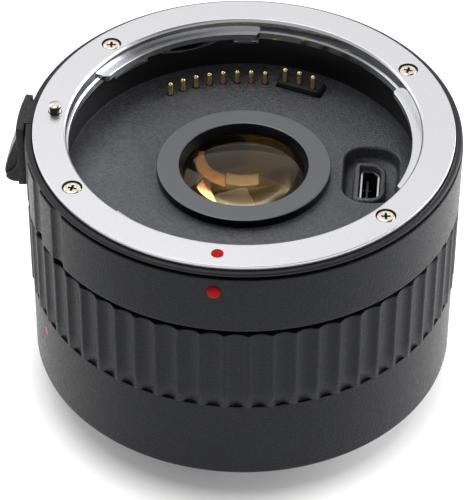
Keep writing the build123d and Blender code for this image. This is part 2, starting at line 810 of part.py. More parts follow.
def optics():
    """The five elements, the two spacers and the rear ring, by name."""
    front_r, rear_r = front_bore_r - lens_play, rear_bore_r - lens_play
    edge_1 = top - glass_1_edge_drop
    joint_12 = edge_1 - glass_1_edge
    low_2 = joint_12 - glass_2_edge
    edge_3 = low_2 - front_spacer_length
    low_3 = edge_3 - glass_3_edge
    edge_4 = stop_z - glass_4_drop
    joint_45 = edge_4 - glass_4_edge
    low_5 = joint_45 - glass_5_edge
    ring_high = low_5 - rear_ring_drop
    return {
        "lens_element_1": glass(front_r, edge_1, joint_12, glass_1_front_curve, -glass_1_rear_curve),
        "lens_element_2": glass(front_r, joint_12, low_2, -glass_1_rear_curve, glass_2_rear_curve),
        "front_lens_spacer": tube(front_r, front_r - spacer_wall, edge_3, low_2),
        "lens_element_3": glass(front_r, edge_3, low_3, -glass_3_front_curve, glass_3_rear_curve),
        "rear_lens_spacer": tube(front_r, front_r - spacer_wall, stop_z + stop_t, low_3),
        "lens_element_4": glass(rear_r, edge_4, joint_45, glass_4_front_curve, -glass_4_rear_curve),
        "lens_element_5": glass(rear_r, joint_45, low_5, -glass_4_rear_curve, -glass_5_rear_curve),
        "rear_retaining_ring": tube(rear_r, rear_r - rear_ring_wall, ring_high - rear_ring_t, ring_high),
    }


# Circuit board and its chips

def main_circuit_board():
    return tube(board_out_r, board_in_r, board_low, board_top)


def circuit_chips():
    chips = []
    for azimuth, (length, width, height) in zip(chip_azimuths, chip_sizes):
        body = chamfer(Box(length, width, height).edges().filter_by(Axis.Z), height / 4)
        chips.append(at(chip_circle_r, azimuth, board_low - height / 2) * body)
    return chips


# Rear mount, its screws, and the baffle with the flat contacts

def rear_mount():
    edge_r = rear_mount_r - rear_mount_edge
    relief_r = rear_lug_r + rear_relief_gap
    mount = turned([
        (collar_in_r, -bayonet_height), (bayonet_r, -bayonet_height), (bayonet_r, rear_relief_depth),
        (relief_r, rear_relief_depth), (relief_r, 0), (edge_r, 0), (rear_mount_r, rear_mount_edge),
        (rear_mount_r, rear_mount_t), (collar_in_r, rear_mount_t)])
    for azimuth in rear_lug_azimuths:
        lug = sector(bayonet_r - rear_lug_t / 4, rear_lug_r, azimuth, rear_lug_sweep,
                     -rear_lug_low, rear_lug_t - rear_lug_low)
        mount += lug
    for azimuth in rear_screw_azimuths:
        place = at(rear_screw_circle_r, azimuth)
        mount -= place * rod(screw_hole_r, -overrun, rear_mount_t + overrun)
        mount -= place * rod(screw_recess_r, -overrun, screw_recess_depth)
    return mount - at(lock_circle_r, release_azimuth) * rod(catch_hole_r, -overrun, catch_hole_depth)


def rear_mount_screws():
    head = screw_recess_depth - screw_head_t
    screw = Rot(180, 0, 0) * cross_screw(screw_length)
    return [at(rear_screw_circle_r, azimuth, head) * screw for azimuth in rear_screw_azimuths]


def rear_baffle():
    """A moulded cup inside the bayonet, stepped in to the rear opening."""
    outer_r = collar_in_r - fit_gap
    inner_r = outer_r - rear_baffle_wall
    low, floor_low = -rear_baffle_low, -rear_baffle_low + rear_baffle_t
    cup_low = rear_cup_depth - rear_baffle_low
    cup_high = cup_low + rear_baffle_t
    wall_in = rear_cup_r - rear_baffle_t
    flange_r = foot_bore_r - slide_gap
    flange_high = rear_mount_t + rear_flange_t
    baffle = turned([
        (wall_in, low), (outer_r - rear_baffle_corner, low), (outer_r, low + rear_baffle_corner),
        (outer_r, rear_mount_t), (flange_r, rear_mount_t), (flange_r, flange_high), (inner_r, flange_high),
        (inner_r, floor_low), (rear_cup_r, floor_low), (rear_cup_r, cup_high), (rear_hole_r, cup_high),
        (rear_hole_r, cup_low), (wall_in, cup_low)])
    middle, span = sum(carrier_azimuths) / 2, carrier_azimuths[1] - carrier_azimuths[0]
    window = sector(rear_block_in_r - slide_gap, rear_block_out_r + slide_gap, middle,
                    span + degrees(2 * slide_gap / rear_block_in_r), low - overrun, floor_low + slide_gap)
    return baffle - window


def rear_contact_block():
    middle, span = sum(carrier_azimuths) / 2, carrier_azimuths[1] - carrier_azimuths[0]
    low = -rear_baffle_low
    floor_low = low + rear_baffle_t
    wider = degrees(2 * rear_block_flange / rear_block_in_r)
    high = low + rear_block_t
    body = sector(rear_block_in_r, rear_block_out_r, middle, span, low, high)
    body += sector(rear_block_in_r - 2 * rear_block_flange, rear_block_out_r, middle, span + 2 * wider,
                   floor_low, high)
    for azimuth, rise in contact_pins:
        body -= at(pin_circle_r, azimuth) * rod(pad_r + fit_gap, low - overrun, low + pad_depth + pad_t)
    return body


def rear_contact_pads():
    low = pad_depth - rear_baffle_low
    return [at(pin_circle_r, azimuth) * rod(pad_r, low, low + pad_t) for azimuth, rise in contact_pins]


def rear_flex_strip():
    low = rear_block_t - rear_baffle_low
    return sector(pin_circle_r, pin_circle_r + rear_flex_t, rear_flex_azimuth, rear_flex_sweep,
                  low, board_low - fit_gap)


# Lens release. The lever, the plate behind it and the lock pin slide down together.

def lock_plate():
    high = ring_low - plate_gap
    plate = block(plate_in_r, plate_out_r, plate_half, high - plate_height, high)
    plate -= Pos(lock_circle_r, 0, 0) * rod(lock_stem_r, high - lock_stem_length, top)
    return Rot(0, 0, release_azimuth) * plate


def lock_pin():
    shoulder = ring_low - plate_gap
    high = top + lock_pin_proud
    outline = [(0, shoulder - lock_stem_length), (lock_stem_r, shoulder - lock_stem_length),
               (lock_stem_r, shoulder), (lock_pin_r, shoulder), (lock_pin_r, high - lock_pin_edge),
               (lock_pin_r - lock_pin_edge, high), (0, high)]
    return at(lock_circle_r, release_azimuth) * turned(outline)


def lever_hook():
    """The thumb hook: it grows outwards towards its rounded foot, where it takes the full width."""
    face_r = barrel_r + lever_in_gap + lever_stem_t
    length = lever_low_drop - rim_drop
    outer = [(face_r + reach * lever_hook_reach, rim_top - drop * length)
             for reach, drop in lever_hook_shares]
    inner_r = face_r - lever_stem_t / 2
    (last_r, last_z), (first_r, first_z) = outer[-1], outer[0]
    back = Polyline((last_r, last_z), (inner_r, last_z), (inner_r, first_z), (first_r, first_z))
    ring = revolve(Plane.XZ * make_face([Spline(*outer), *back.edges()]), Axis.Z)
    beyond_r = face_r + lever_hook_reach + overrun
    foot_top = rim_top - lever_foot_share * length
    width = block(inner_r - overrun, beyond_r, lever_hook_half, last_z, rim_top)
    width += block(inner_r - overrun, beyond_r, lever_half, last_z, foot_top)
    return ring & width


def release_lever():
    low = top - lever_low_drop
    inner_r = barrel_r + lever_in_gap
    outer_r = inner_r + lever_stem_t
    cover = block(chassis_r, outer_r + overrun, lever_half, low, rim_top)
    cover = cover & tube(outer_r, inner_r, low - overrun, top)
    cover = fillet(cover.edges().filter_by(Axis.Z).sort_by(lambda e: -e.center().X)[:2], lever_round)
    lever = cover + lever_hook()
    tab_low = rim_top - tab_height
    tab = block(plate_out_r, inner_r + lever_stem_t / 2, plate_half, tab_low, ring_low - plate_gap)
    tab += block(ring_r + tab_ring_gap, inner_r + lever_stem_t / 2, plate_half, tab_low, rim_top)
    return Rot(0, 0, release_azimuth) * (lever + tab)


def lock_spring():
    high = ring_low - plate_gap - plate_height
    length = high - window_low - 2 * collar_gap
    return at(lock_coil_circle_r, release_azimuth, window_low + collar_gap) * coil(
        lock_coil_r, lock_wire_r, length, lock_coil_turns)


save(front_mount_ring(), "front_mount_ring")
save(Compound(front_mount_screws()), "front_mount_screws")
save(lens_index_mark(), "lens_index_mark")
save(Compound(bayonet_leaf_springs()), "bayonet_leaf_springs")
save(chassis(), "chassis")
save(upper_shell(), "upper_shell")
save(index_bead(), "index_bead")
save(main_barrel(), "main_barrel")
save(camera_index_line(), "camera_index_line")
save(front_baffle(), "front_baffle")
save(usb_shell(), "usb_shell")
save(usb_insert(), "usb_insert")
save(usb_circuit_board(), "usb_circuit_board")
save(contact_carrier(), "contact_carrier")
save(contact_circuit(), "contact_circuit")
spring = contact_spring()
for number, (azimuth, rise) in enumerate(contact_pins, 1):
    save(at(pin_circle_r, azimuth) * contact_pin(rise), "contact_pin_" + str(number))
    save(at(pin_circle_r, azimuth) * spring, "contact_spring_" + str(number))
save(lens_tube(), "lens_tube")
save(front_retaining_ring(), "front_retaining_ring")
for node, shape in optics().items():
    save(shape, node)
save(main_circuit_board(), "main_circuit_board")
save(Compound(circuit_chips()), "circuit_chips")
save(rear_mount(), "rear_mount")
save(Compound(rear_mount_screws()), "rear_mount_screws")
save(rear_baffle(), "rear_baffle")
save(rear_contact_block(), "rear_contact_block")
save(Compound(rear_contact_pads()), "rear_contact_pads")
save(rear_flex_strip(), "rear_flex_strip")
save(lock_plate(), "lock_plate")
save(lock_pin(), "lock_pin")
save(release_lever(), "release_lever")
save(lock_spring(), "lock_spring")
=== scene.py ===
import math

import bmesh
import bpy
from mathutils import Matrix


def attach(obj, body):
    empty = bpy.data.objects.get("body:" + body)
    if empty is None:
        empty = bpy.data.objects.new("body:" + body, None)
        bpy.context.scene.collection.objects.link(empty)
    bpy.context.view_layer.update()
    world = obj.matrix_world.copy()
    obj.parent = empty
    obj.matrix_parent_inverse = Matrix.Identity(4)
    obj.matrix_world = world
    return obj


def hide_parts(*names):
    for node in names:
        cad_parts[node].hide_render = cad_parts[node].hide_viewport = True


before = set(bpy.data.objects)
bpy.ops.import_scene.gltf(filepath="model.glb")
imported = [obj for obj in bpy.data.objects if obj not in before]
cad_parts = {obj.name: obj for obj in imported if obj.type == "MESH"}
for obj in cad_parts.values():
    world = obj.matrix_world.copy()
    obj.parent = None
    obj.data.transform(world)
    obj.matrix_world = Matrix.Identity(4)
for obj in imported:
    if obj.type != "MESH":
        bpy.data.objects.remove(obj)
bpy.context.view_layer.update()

# Camera. It looks down on the lens side from the index side, as the photograph does, 42 cm
# from the mount ring, with the ring's centre near the top of the frame.
mm = 0.001
camera_place = (0, -0.327859, 0.305339)
camera_turn = [math.radians(angle) for angle in (48.67605, -0.225791, 0.434025)]
bpy.ops.object.select_all(action="DESELECT")
bpy.ops.object.camera_add(location=camera_place, rotation=camera_turn)
camera = bpy.context.object
camera.name = "photo_camera"
camera.data.sensor_fit = "VERTICAL"
camera.data.sensor_height = 36
camera.data.lens = 198.342
bpy.context.scene.camera = camera

# Floor and studio. A white sweep that shows a faint shadow, with three large soft boxes: one
# overhead and one behind each side. Mirrors and glass see a grey room: a dark ceiling, a dark
# screen behind on the left, a white panel opposite the camera and, in glass, a warm side window.
bpy.context.scene.view_settings.view_transform = "Standard"
floor_height = -6.2
white = (1, 1, 1, 1)


def add_node(tree, kind, inputs=(), operation=None):
    """A shader node; each (input, value) pair links a socket or sets a constant."""
    node = tree.nodes.new(kind)
    if operation:
        node.operation = operation
    for key, value in inputs:
        if isinstance(value, bpy.types.NodeSocket):
            tree.links.new(value, node.inputs[key])
        else:
            node.inputs[key].default_value = value
    return node


def math_node(tree, operation, *values):
    """The result of a maths node on sockets and numbers."""
    return add_node(tree, "ShaderNodeMath", enumerate(values), operation).outputs[0]


def fade(tree, source, start, end, first, last, interpolation="LINEAR"):
    """Goes from the first value to the last as the source goes from start to end."""
    node = add_node(tree, "ShaderNodeMapRange", [
        ("Value", source), ("From Min", start), ("From Max", end),
        ("To Min", first), ("To Max", last)])
    node.interpolation_type = interpolation
    return node.outputs["Result"]


def seen_directly(tree):
    """A factor that is 1 for camera, mirror and glass rays, and 0 for the rest."""
    path = add_node(tree, "ShaderNodeLightPath").outputs
    seen = math_node(tree, "MAXIMUM", path["Is Camera Ray"], path["Is Glossy Ray"])
    return math_node(tree, "MAXIMUM", seen, path["Is Transmission Ray"])


bpy.ops.mesh.primitive_plane_add(size=3.0, location=(0, 0, floor_height * mm))
floor = bpy.context.object
floor.name = "studio_floor"
floor_material = bpy.data.materials.new("white_sweep")
floor_material.use_nodes = True
floor_tree = floor_material.node_tree
floor_shader = floor_tree.nodes["Principled BSDF"]
floor_shader.inputs["Base Color"].default_value = (0.85, 0.85, 0.85, 1)
floor_shader.inputs["Roughness"].default_value = 0.9
floor_place = add_node(floor_tree, "ShaderNodeTexCoord").outputs["Object"]
# The floor's glow fades to almost nothing within 30 mm of the axis: a painted shadow under the
# converter.
from_converter = add_node(floor_tree, "ShaderNodeVectorMath", [(0, floor_place)], "LENGTH")
glow_with_painted_shadow = fade(floor_tree, from_converter.outputs["Value"], 30 * mm, 36 * mm, 0.01, 0.62)
floor_glow = add_node(floor_tree, "ShaderNodeEmission", [("Strength", glow_with_painted_shadow)])
floor_lit = add_node(floor_tree, "ShaderNodeAddShader", [
    (0, floor_shader.outputs[0]), (1, floor_glow.outputs[0])])
floor_mix = add_node(floor_tree, "ShaderNodeMixShader", [
    (0, seen_directly(floor_tree)), (1, floor_shader.outputs[0]), (2, floor_lit.outputs[0])])
floor_tree.links.new(floor_mix.outputs[0], floor_tree.nodes["Material Output"].inputs["Surface"])
floor.data.materials.append(floor_material)

world = bpy.data.worlds.new("white_room")
bpy.context.scene.world = world
world.use_nodes = True
world_tree = world.node_tree
room = world_tree.nodes["Background"]
room.inputs["Color"].default_value = white
room.inputs["Strength"].default_value = 0.45
world_way = add_node(world_tree, "ShaderNodeTexCoord").outputs["Generated"]
world_axes = add_node(world_tree, "ShaderNodeSeparateXYZ", [(0, world_way)]).outputs
world_path = add_node(world_tree, "ShaderNodeLightPath").outputs


def world_math(operation, *values):
    """A maths node on the room's light."""
    return math_node(world_tree, operation, *values)


def dark_patch(towards, start, end):
    """1 away from a direction and nearly 0 round it, with a soft edge between two cosines."""
    ends = [(0, world_way), (1, towards)]
    near = add_node(world_tree, "ShaderNodeVectorMath", ends, "DOT_PRODUCT").outputs["Value"]
    return fade(world_tree, near, start, end, 1.0, 0.04, "SMOOTHSTEP")


def window(middle_x, half_x, middle_z, half_z):
    """1 on a panel in the half of the room opposite the camera, and 0 elsewhere."""
    across = world_math("COMPARE", world_axes["X"], middle_x, half_x)
    high = world_math("COMPARE", world_axes["Z"], middle_z, half_z)
    behind = world_math("GREATER_THAN", world_axes["Y"], 0.0)
    return world_math("MULTIPLY", world_math("MULTIPLY", across, high), behind)


dark_ceiling = dark_patch((0.48, -0.05, 0.876), 0.76, 0.86)
dark_screen = dark_patch((-0.55, 0.75, 0.36), 0.88, 0.96)
white_panel = window(0.02, 0.26, 0.60, 0.15)
side_window = window(0.58, 0.28, 0.42, 0.26)
grey_room = world_math("MULTIPLY", world_math("MULTIPLY", dark_ceiling, dark_screen), 0.50)
mirror_room = world_math("MAXIMUM", grey_room, world_math("MULTIPLY", white_panel, 1.10))
panel_light = world_math("MULTIPLY", white_panel, 1.6)
window_light = world_math("MULTIPLY", side_window, 3.2)
through_glass = world_math("ADD", panel_light, window_light)
lit_glass = world_math("MULTIPLY", through_glass, world_path["Is Transmission Ray"])
lit_room = world_math("ADD", mirror_room, lit_glass)
glass_tone = add_node(world_tree, "ShaderNodeMix")
glass_tone.data_type = "RGBA"
glass_tone.inputs["A"].default_value = white
glass_tone.inputs["B"].default_value = (1.0, 0.60, 0.36, 1)
warm_part = world_math("MULTIPLY", side_window, world_path["Is Transmission Ray"])
world_tree.links.new(warm_part, glass_tone.inputs["Factor"])
white_backdrop = world_math("MAXIMUM", lit_room, world_path["Is Camera Ray"])
backdrop = add_node(world_tree, "ShaderNodeBackground", [
    ("Color", glass_tone.outputs["Result"]), ("Strength", white_backdrop)])
world_mix = add_node(world_tree, "ShaderNodeMixShader", [
    (0, seen_directly(world_tree)), (1, room.outputs[0]), (2, backdrop.outputs[0])])
world_tree.links.new(world_mix.outputs[0], world_tree.nodes["World Output"].inputs["Surface"])


def soft_box(name, place, size, power):
    """A square area lamp turned towards the converter."""
    bpy.ops.object.light_add(type="AREA", location=place)
    lamp = bpy.context.object
    lamp.name = name
    lamp.data.shape = "SQUARE"
    lamp.data.size = size
    lamp.data.energy = power
    lamp.rotation_euler = lamp.location.to_track_quat("Z", "Y").to_euler()
    lamp.visible_transmission = False


soft_box("top_soft_box", (-0.10, 0.27, 0.76), 0.36, 1.1)
soft_box("left_soft_box", (-0.52, 0.42, 0.30), 0.70, 2.0)
soft_box("right_soft_box", (0.62, 0.28, 0.26), 0.60, 6.0)

# Chassis. A turned alloy tube that carries both mounts, the barrel and the optics. Only its
# rounded rim and the dark step below it show, round the mount ring.
release_azimuth = 173.4
merge_gap = 0.001


def all_clear():
    """Object mode, with nothing selected."""
    if bpy.context.object and bpy.context.object.mode != "OBJECT":
        bpy.ops.object.mode_set(mode="OBJECT")
    bpy.ops.object.select_all(action="DESELECT")


def only(piece):
    """The piece alone selected and active, in object mode."""
    all_clear()
    piece.select_set(True)
    bpy.context.view_layer.objects.active = piece


def edit(piece):
    """The piece alone in edit mode, with points to be selected."""
    only(piece)
    bpy.ops.object.mode_set(mode="EDIT")
    bpy.ops.mesh.select_mode(type="VERT")


def select_where(piece, chosen):
    """In edit mode, selects only the points for which chosen is true."""
    bpy.ops.mesh.select_all(action="DESELECT")
    shape = bmesh.from_edit_mesh(piece.data)
    for vert in shape.verts:
        vert.select = chosen(vert)
    shape.select_flush_mode()
    bmesh.update_edit_mesh(piece.data)


def apply_transform():
    """The active piece's place, turn and scale go into its mesh."""
    bpy.ops.object.transform_apply(location=True, rotation=True, scale=True)


def settle(piece, place, turned=(0, 0, 0)):
    """Moves a piece to a place in millimetres, turned by degrees, in its mesh."""
    only(piece)
    piece.location = [value * mm for value in place]
    piece.rotation_euler = [math.radians(angle) for angle in turned]
    apply_transform()
    return piece


def swing(piece, azimuth):
    """Turns a piece about the optical axis, in its mesh."""
    return settle(piece, (0, 0, 0), (0, 0, azimuth))


def trace(name, corners):
    """A line through (radius, height) corners in millimetres, left in edit mode."""
    all_clear()
    first_r, first_z = corners[0]
    bpy.ops.mesh.primitive_plane_add(size=mm, location=(first_r * mm, 0, first_z * mm))
    piece = bpy.context.object
    piece.name = name
    apply_transform()
    bpy.ops.object.mode_set(mode="EDIT")
    bpy.ops.mesh.select_all(action="SELECT")
    bpy.ops.mesh.merge(type="CENTER")
    for (r0, z0), (r1, z1) in zip(corners, corners[1:]):
        step = ((r1 - r0) * mm, 0, (z1 - z0) * mm)
        bpy.ops.mesh.extrude_vertices_move(TRANSFORM_OT_translate={"value": step})
    return piece


def spin(steps, angle):
    """In edit mode, spins the whole outline about the optical axis."""
    bpy.ops.mesh.select_all(action="SELECT")
    bpy.ops.mesh.spin(steps=steps, angle=angle, center=(0, 0, 0), axis=(0, 0, 1))


def close_up(doubled=True):
    """Merges doubled points, turns the faces outwards and leaves edit mode."""
    bpy.ops.mesh.select_all(action="SELECT")
    if doubled:
        bpy.ops.mesh.remove_doubles(threshold=merge_gap * mm)
    bpy.ops.mesh.normals_make_consistent(inside=False)
    bpy.ops.object.mode_set(mode="OBJECT")


def turn(name, corners, steps=360, closed=True):
    """An outline of (radius, height) corners in millimetres, spun once round the axis."""
    piece = trace(name, corners)
    if closed:
        select_where(piece, lambda vert: len(vert.link_edges) < 2)
        bpy.ops.mesh.edge_face_add()
    spin(steps, math.tau)
    close_up()
    return piece


def ease(piece, width, segments=3, angle=30):
    """Rounds every edge sharper than the angle by the width in millimetres."""
    only(piece)
    bevel = piece.modifiers.new("eased_edges", "BEVEL")
    bevel.width = width * mm
    bevel.segments = segments
    bevel.limit_method = "ANGLE"
    bevel.angle_limit = math.radians(angle)
    bpy.ops.object.modifier_apply(modifier=bevel.name)
    return piece


def smooth(piece, angle=32):
    """Shades the piece smooth, but for edges sharper than the angle."""
    only(piece)
    bpy.ops.object.shade_smooth_by_angle(angle=math.radians(angle))
    return piece


def combine(piece, other, operation):
    """Changes the piece by the other's shape, and removes the other."""
    only(piece)
    change = piece.modifiers.new("combine", "BOOLEAN")
    change.operation = operation
    change.solver = "EXACT"
    change.object = other
    bpy.ops.object.modifier_apply(modifier=change.name)
    all_clear()
    bpy.data.objects.remove(other)
    return piece


def cut(piece, cutter):
    """Takes the cutter's shape out of the piece."""
    return combine(piece, cutter, "DIFFERENCE")


def join(piece, others):
    """Makes other pieces part of this one's mesh."""
    only(piece)
    for other in others:
        other.select_set(True)
    bpy.ops.object.join()
    return piece


def copies(piece, azimuths):
    """Copies of a piece made at azimuth 0, one at each azimuth, joined to one mesh."""
    made = []
    for azimuth in azimuths[1:]:
        only(piece)
        bpy.ops.object.duplicate()
        made.append(swing(bpy.context.object, azimuth))
    swing(piece, azimuths[0])
    return join(piece, made)


def bar(name, low, high):
    """A block between two corners in millimetres."""
    all_clear()
    middle = [(a + b) / 2 * mm for a, b in zip(low, high)]
    bpy.ops.mesh.primitive_cube_add(size=1, location=middle)
    piece = bpy.context.object
    piece.name = name
    piece.scale = [(b - a) * mm for a, b in zip(low, high)]
    apply_transform()
    return piece


def on_circle(radius, azimuth):
    """Millimetres across and along for a place on a circle about the axis."""
    return radius * math.cos(math.radians(azimuth)), radius * math.sin(math.radians(azimuth))


def from_axis(place):
    """A point's distance from the optical axis."""
    return math.hypot(place.x, place.y)


def drill(radius, place, low, high, sides=64):
    """A cylinder for cutting a round hole, at (x, y) in millimetres."""
    all_clear()
    bpy.ops.mesh.primitive_cylinder_add(
        vertices=sides, radius=radius * mm, depth=(high - low) * mm,
        location=(place[0] * mm, place[1] * mm, (low + high) / 2 * mm))
    apply_transform()
    return bpy.context.object


def plain_finish(name, colour, roughness, metallic=0.0, specular=0.5, glint=(1, 1, 1)):
    """A material with its even values on the shader, ready for its grain."""
    material = bpy.data.materials.new(name)
    material.use_nodes = True
    inputs = material.node_tree.nodes["Principled BSDF"].inputs
    inputs["Base Color"].default_value = (*colour, 1)
    inputs["Roughness"].default_value = roughness
    inputs["Metallic"].default_value = metallic
    inputs["Specular IOR Level"].default_value = specular
    inputs["Specular Tint"].default_value = (*glint, 1)
    return material


def speckle(material, size, detail=2.0, stretch=(1, 1, 1)):
    """Noise over the piece, with its grain's size in millimetres."""
    tree = material.node_tree
    place = add_node(tree, "ShaderNodeTexCoord").outputs["Object"]
    spread = add_node(tree, "ShaderNodeMapping", [("Vector", place), ("Scale", stretch)])
    noise = add_node(tree, "ShaderNodeTexNoise", [
        ("Vector", spread.outputs["Vector"]), ("Scale", 1 / (size * mm)), ("Detail", detail)])
    return noise.outputs["Fac"]


def tint(material, source, first, second, low=0.35, high=0.65):
    """Colours the surface between two shades as the source goes from low to high."""
    tree = material.node_tree
    ramp = add_node(tree, "ShaderNodeValToRGB", [("Fac", source)])
    for stop, place, shade in zip(ramp.color_ramp.elements, (low, high), (first, second)):
        stop.position = place
        stop.color = (*shade, 1)
    tree.links.new(ramp.outputs["Color"], tree.nodes["Principled BSDF"].inputs["Base Color"])


def shine(material, source, low, high):
    """Varies the roughness with the source."""
    tree = material.node_tree
    roughness = fade(tree, source, 0.3, 0.7, low, high)
    tree.links.new(roughness, tree.nodes["Principled BSDF"].inputs["Roughness"])


def relief(material, source, height):
    """Raises the surface by the source, height millimetres at most."""
    tree = material.node_tree
    bump = add_node(tree, "ShaderNodeBump", [
        ("Height", source), ("Distance", height * mm), ("Strength", 1.0)])
    tree.links.new(bump.outputs["Normal"], tree.nodes["Principled BSDF"].inputs["Normal"])


def repaint(piece, finish, chosen):
    """Adds a finish to the piece, on the faces for which chosen is true."""
    piece.data.materials.append(finish)
    for face in piece.data.polygons:
        if chosen(face):
            face.material_index = len(piece.data.materials) - 1


def dress(nodes, finish):
    """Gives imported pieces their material."""
    for node in nodes:
        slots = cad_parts[node].data.materials
        slots.clear()
        slots.append(finish)


chassis_alloy = plain_finish("black_anodised_alloy", (0.013, 0.013, 0.016), 0.42, specular=0.35)
relief(chassis_alloy, speckle(chassis_alloy, 0.12), 0.006)
shine(chassis_alloy, speckle(chassis_alloy, 3.0), 0.36, 0.50)
chassis = turn("chassis_tube", [
    (26.6, 2.0), (32.1, 2.0), (32.1, 39.9), (32.8, 39.9), (32.8, 41.1), (33.2, 41.1),
    (33.35, 41.2), (33.38, 41.32), (33.33, 41.46), (33.2, 41.56), (33.0, 41.6), (32.6, 41.6),
    (32.45, 41.5), (32.4, 40.5), (28.05, 40.5), (28.05, 32.1), (27.0, 32.1), (27.0, 30.7),
    (29.9, 30.7), (29.9, 22.4), (13.65, 22.4), (13.65, 20.4), (29.9, 20.4), (29.9, 7.2),
    (26.6, 7.2)])
tab_slot = bar("tab_slot", (27.5, -2.85, 29.5), (34.5, 2.85, 43.2))
cut(chassis, swing(tab_slot, release_azimuth))
smooth(chassis)
chassis.data.materials.append(chassis_alloy)
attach(chassis, "body")
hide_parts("chassis")

# Main barrel. A turned alloy sleeve with sixty shallow flutes above a smooth band, under a
# pebbled black powder coat. It slides over the chassis from behind.
shell_r = 33.5
line_azimuth = -157.3
flutes, columns = 60, 24
flute_half, flute_deep = 1.5256, 0.5
flute_azimuth = 1.5
edge_softness = 0.03


def powder_coat(name, shade):
    """Black powder coat: fine pebbles with a soft glint, and a little dust in the tone."""
    material = plain_finish(name, shade, 0.40, specular=0.20, glint=(0.90, 0.94, 1.0))
    dusty = [value * 2.0 + 0.003 for value in shade]
    tint(material, speckle(material, 0.35, 3.0), shade, dusty, 0.45, 0.65)
    relief(material, speckle(material, 0.30, 2.0), 0.080)
    shine(material, speckle(material, 0.5, 2.0), 0.26, 0.40)
    return material


def groove_depth(across, half, deep):
    """The depth of a round-bottomed groove, across millimetres from its middle, edges softened."""
    arc = (half ** 2 + deep ** 2) / (2 * deep)
    raw = math.sqrt(max(arc ** 2 - across ** 2, 0)) - (arc - deep)
    return edge_softness * math.log(1 + math.exp(raw / edge_softness))


def ring_up(levels):
    """From the selected ring of edges, extrudes through (radius, height) levels."""
    shape = bmesh.from_edit_mesh(bpy.context.object.data)
    for radius, height in levels:
        bpy.ops.mesh.extrude_region_move()
        here = [vert.co for vert in shape.verts if vert.select]
        grow = radius * mm / from_axis(here[0])
        bpy.ops.transform.resize(value=(grow, grow, 1), center_override=(0, 0, 0))
        bpy.ops.transform.translate(value=(0, 0, height * mm - here[0].z))
        shape = bmesh.from_edit_mesh(bpy.context.object.data)


def sleeve(name, count, start, levels):
    """A hollow turned sleeve of many columns, from its first ring round to it again."""
    all_clear()
    radius, height = start
    bpy.ops.mesh.primitive_circle_add(
        vertices=count, radius=radius * mm, location=(0, 0, height * mm))
    piece = bpy.context.object
    piece.name = name
    apply_transform()
    bpy.ops.object.mode_set(mode="EDIT")
    bpy.ops.mesh.select_all(action="SELECT")
    ring_up(levels + [start])
    close_up()
    return piece


def press_in(piece, chosen, depth):
    """Moves the points whose places are chosen towards the axis, by millimetres at the shell."""
    edit(piece)
    select_where(piece, lambda vert: chosen(vert.co))
    factor = 1 - depth / shell_r
    bpy.ops.transform.resize(value=(factor, factor, 1), center_override=(0, 0, 0))
    bpy.ops.object.mode_set(mode="OBJECT")


def azimuth_of(place):
    """A point's azimuth in degrees."""
    return math.degrees(math.atan2(place.y, place.x))


barrel_coat = powder_coat("black_powder_coat", (0.0045, 0.0045, 0.006))
barrel = sleeve("fluted_barrel", flutes * columns, (32.15, 0.75), [
    (32.95, 0.75), (33.10, 0.79), (33.21, 0.90), (33.25, 1.05), (33.25, 1.3), (33.25, 7.0),
    (33.25, 14.7), (33.25, 14.86), (33.22, 14.9), (33.46, 14.92), (33.50, 14.97), (33.50, 18.0),
    (33.50, 22.4), (33.50, 26.0), (33.50, 29.30), (33.50, 29.42), (33.46, 29.55), (33.36, 29.6),
    (32.9, 29.6), (32.15, 29.6)])
column_step = 360 / (flutes * columns)
for column in range(1, columns // 2 + 1):
    pair = (column, columns - column)
    off_middle = abs(columns / 2 - column) * math.tau / (flutes * columns) * shell_r
    press_in(
        barrel,
        lambda co: from_axis(co) > 33.3 * mm and co.z > 14.91 * mm and round(
            (azimuth_of(co) - flute_azimuth) / column_step) % columns in pair,
        groove_depth(off_middle, flute_half, flute_deep))
line_groove = bar("line_groove", (33.05, -0.62, 10.05), (34.0, 0.62, 12.15))
cut(barrel, swing(line_groove, line_azimuth))
smooth(barrel, 40)
barrel.data.materials.append(barrel_coat)
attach(barrel, "body")
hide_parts("main_barrel")

# Upper shell. A thin turned sleeve of the same alloy and coat, smooth over the front and right
# with six wide grooves near the lever. The slot for the lever's tab is milled through it.
index_azimuth = -97.2
bead_place = (shell_r, 0, 38.15)
shell_columns = 1440
shell_step = 360 / shell_columns
shell_grooves = (214.0, 202.0, 190.0, 154.0, 142.0, 130.0)
shell_groove_half, shell_groove_deep = 1.52, 0.5
upper_coat = powder_coat("upper_powder_coat", (0.0045, 0.0045, 0.006))
shell = sleeve("upper_shell_sleeve", shell_columns, (32.15, 30.6), [
    (33.36, 30.6), (33.46, 30.65), (33.50, 30.75), (33.50, 30.95), (33.50, 34.0), (33.50, 37.5),
    (33.50, 40.30), (33.50, 40.50), (33.46, 40.60), (33.36, 40.65), (32.85, 40.65),
    (32.85, 39.9), (32.15, 39.9)])
for offset in range(13):
    off_middle = math.radians(offset * shell_step) * shell_r
    sides = {round((middle + side * offset * shell_step) / shell_step) % shell_columns
             for middle in shell_grooves for side in (-1, 1)}
    press_in(
        shell,
        lambda co: from_axis(co) > 33.2 * mm and round(
            azimuth_of(co) / shell_step) % shell_columns in sides,
        groove_depth(off_middle, shell_groove_half, shell_groove_deep))
lever_slot = bar("lever_slot", (31.5, -2.85, 33.75), (35.0, 2.85, 42.0))
cut(shell, swing(lever_slot, release_azimuth))
bead_hole = settle(drill(1.1, (0, 0), -1.0, 1.0), bead_place, (0, 90, 0))
cut(shell, swing(bead_hole, index_azimuth))
smooth(shell, 40)
shell.data.materials.append(upper_coat)
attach(shell, "body")
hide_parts("upper_shell")

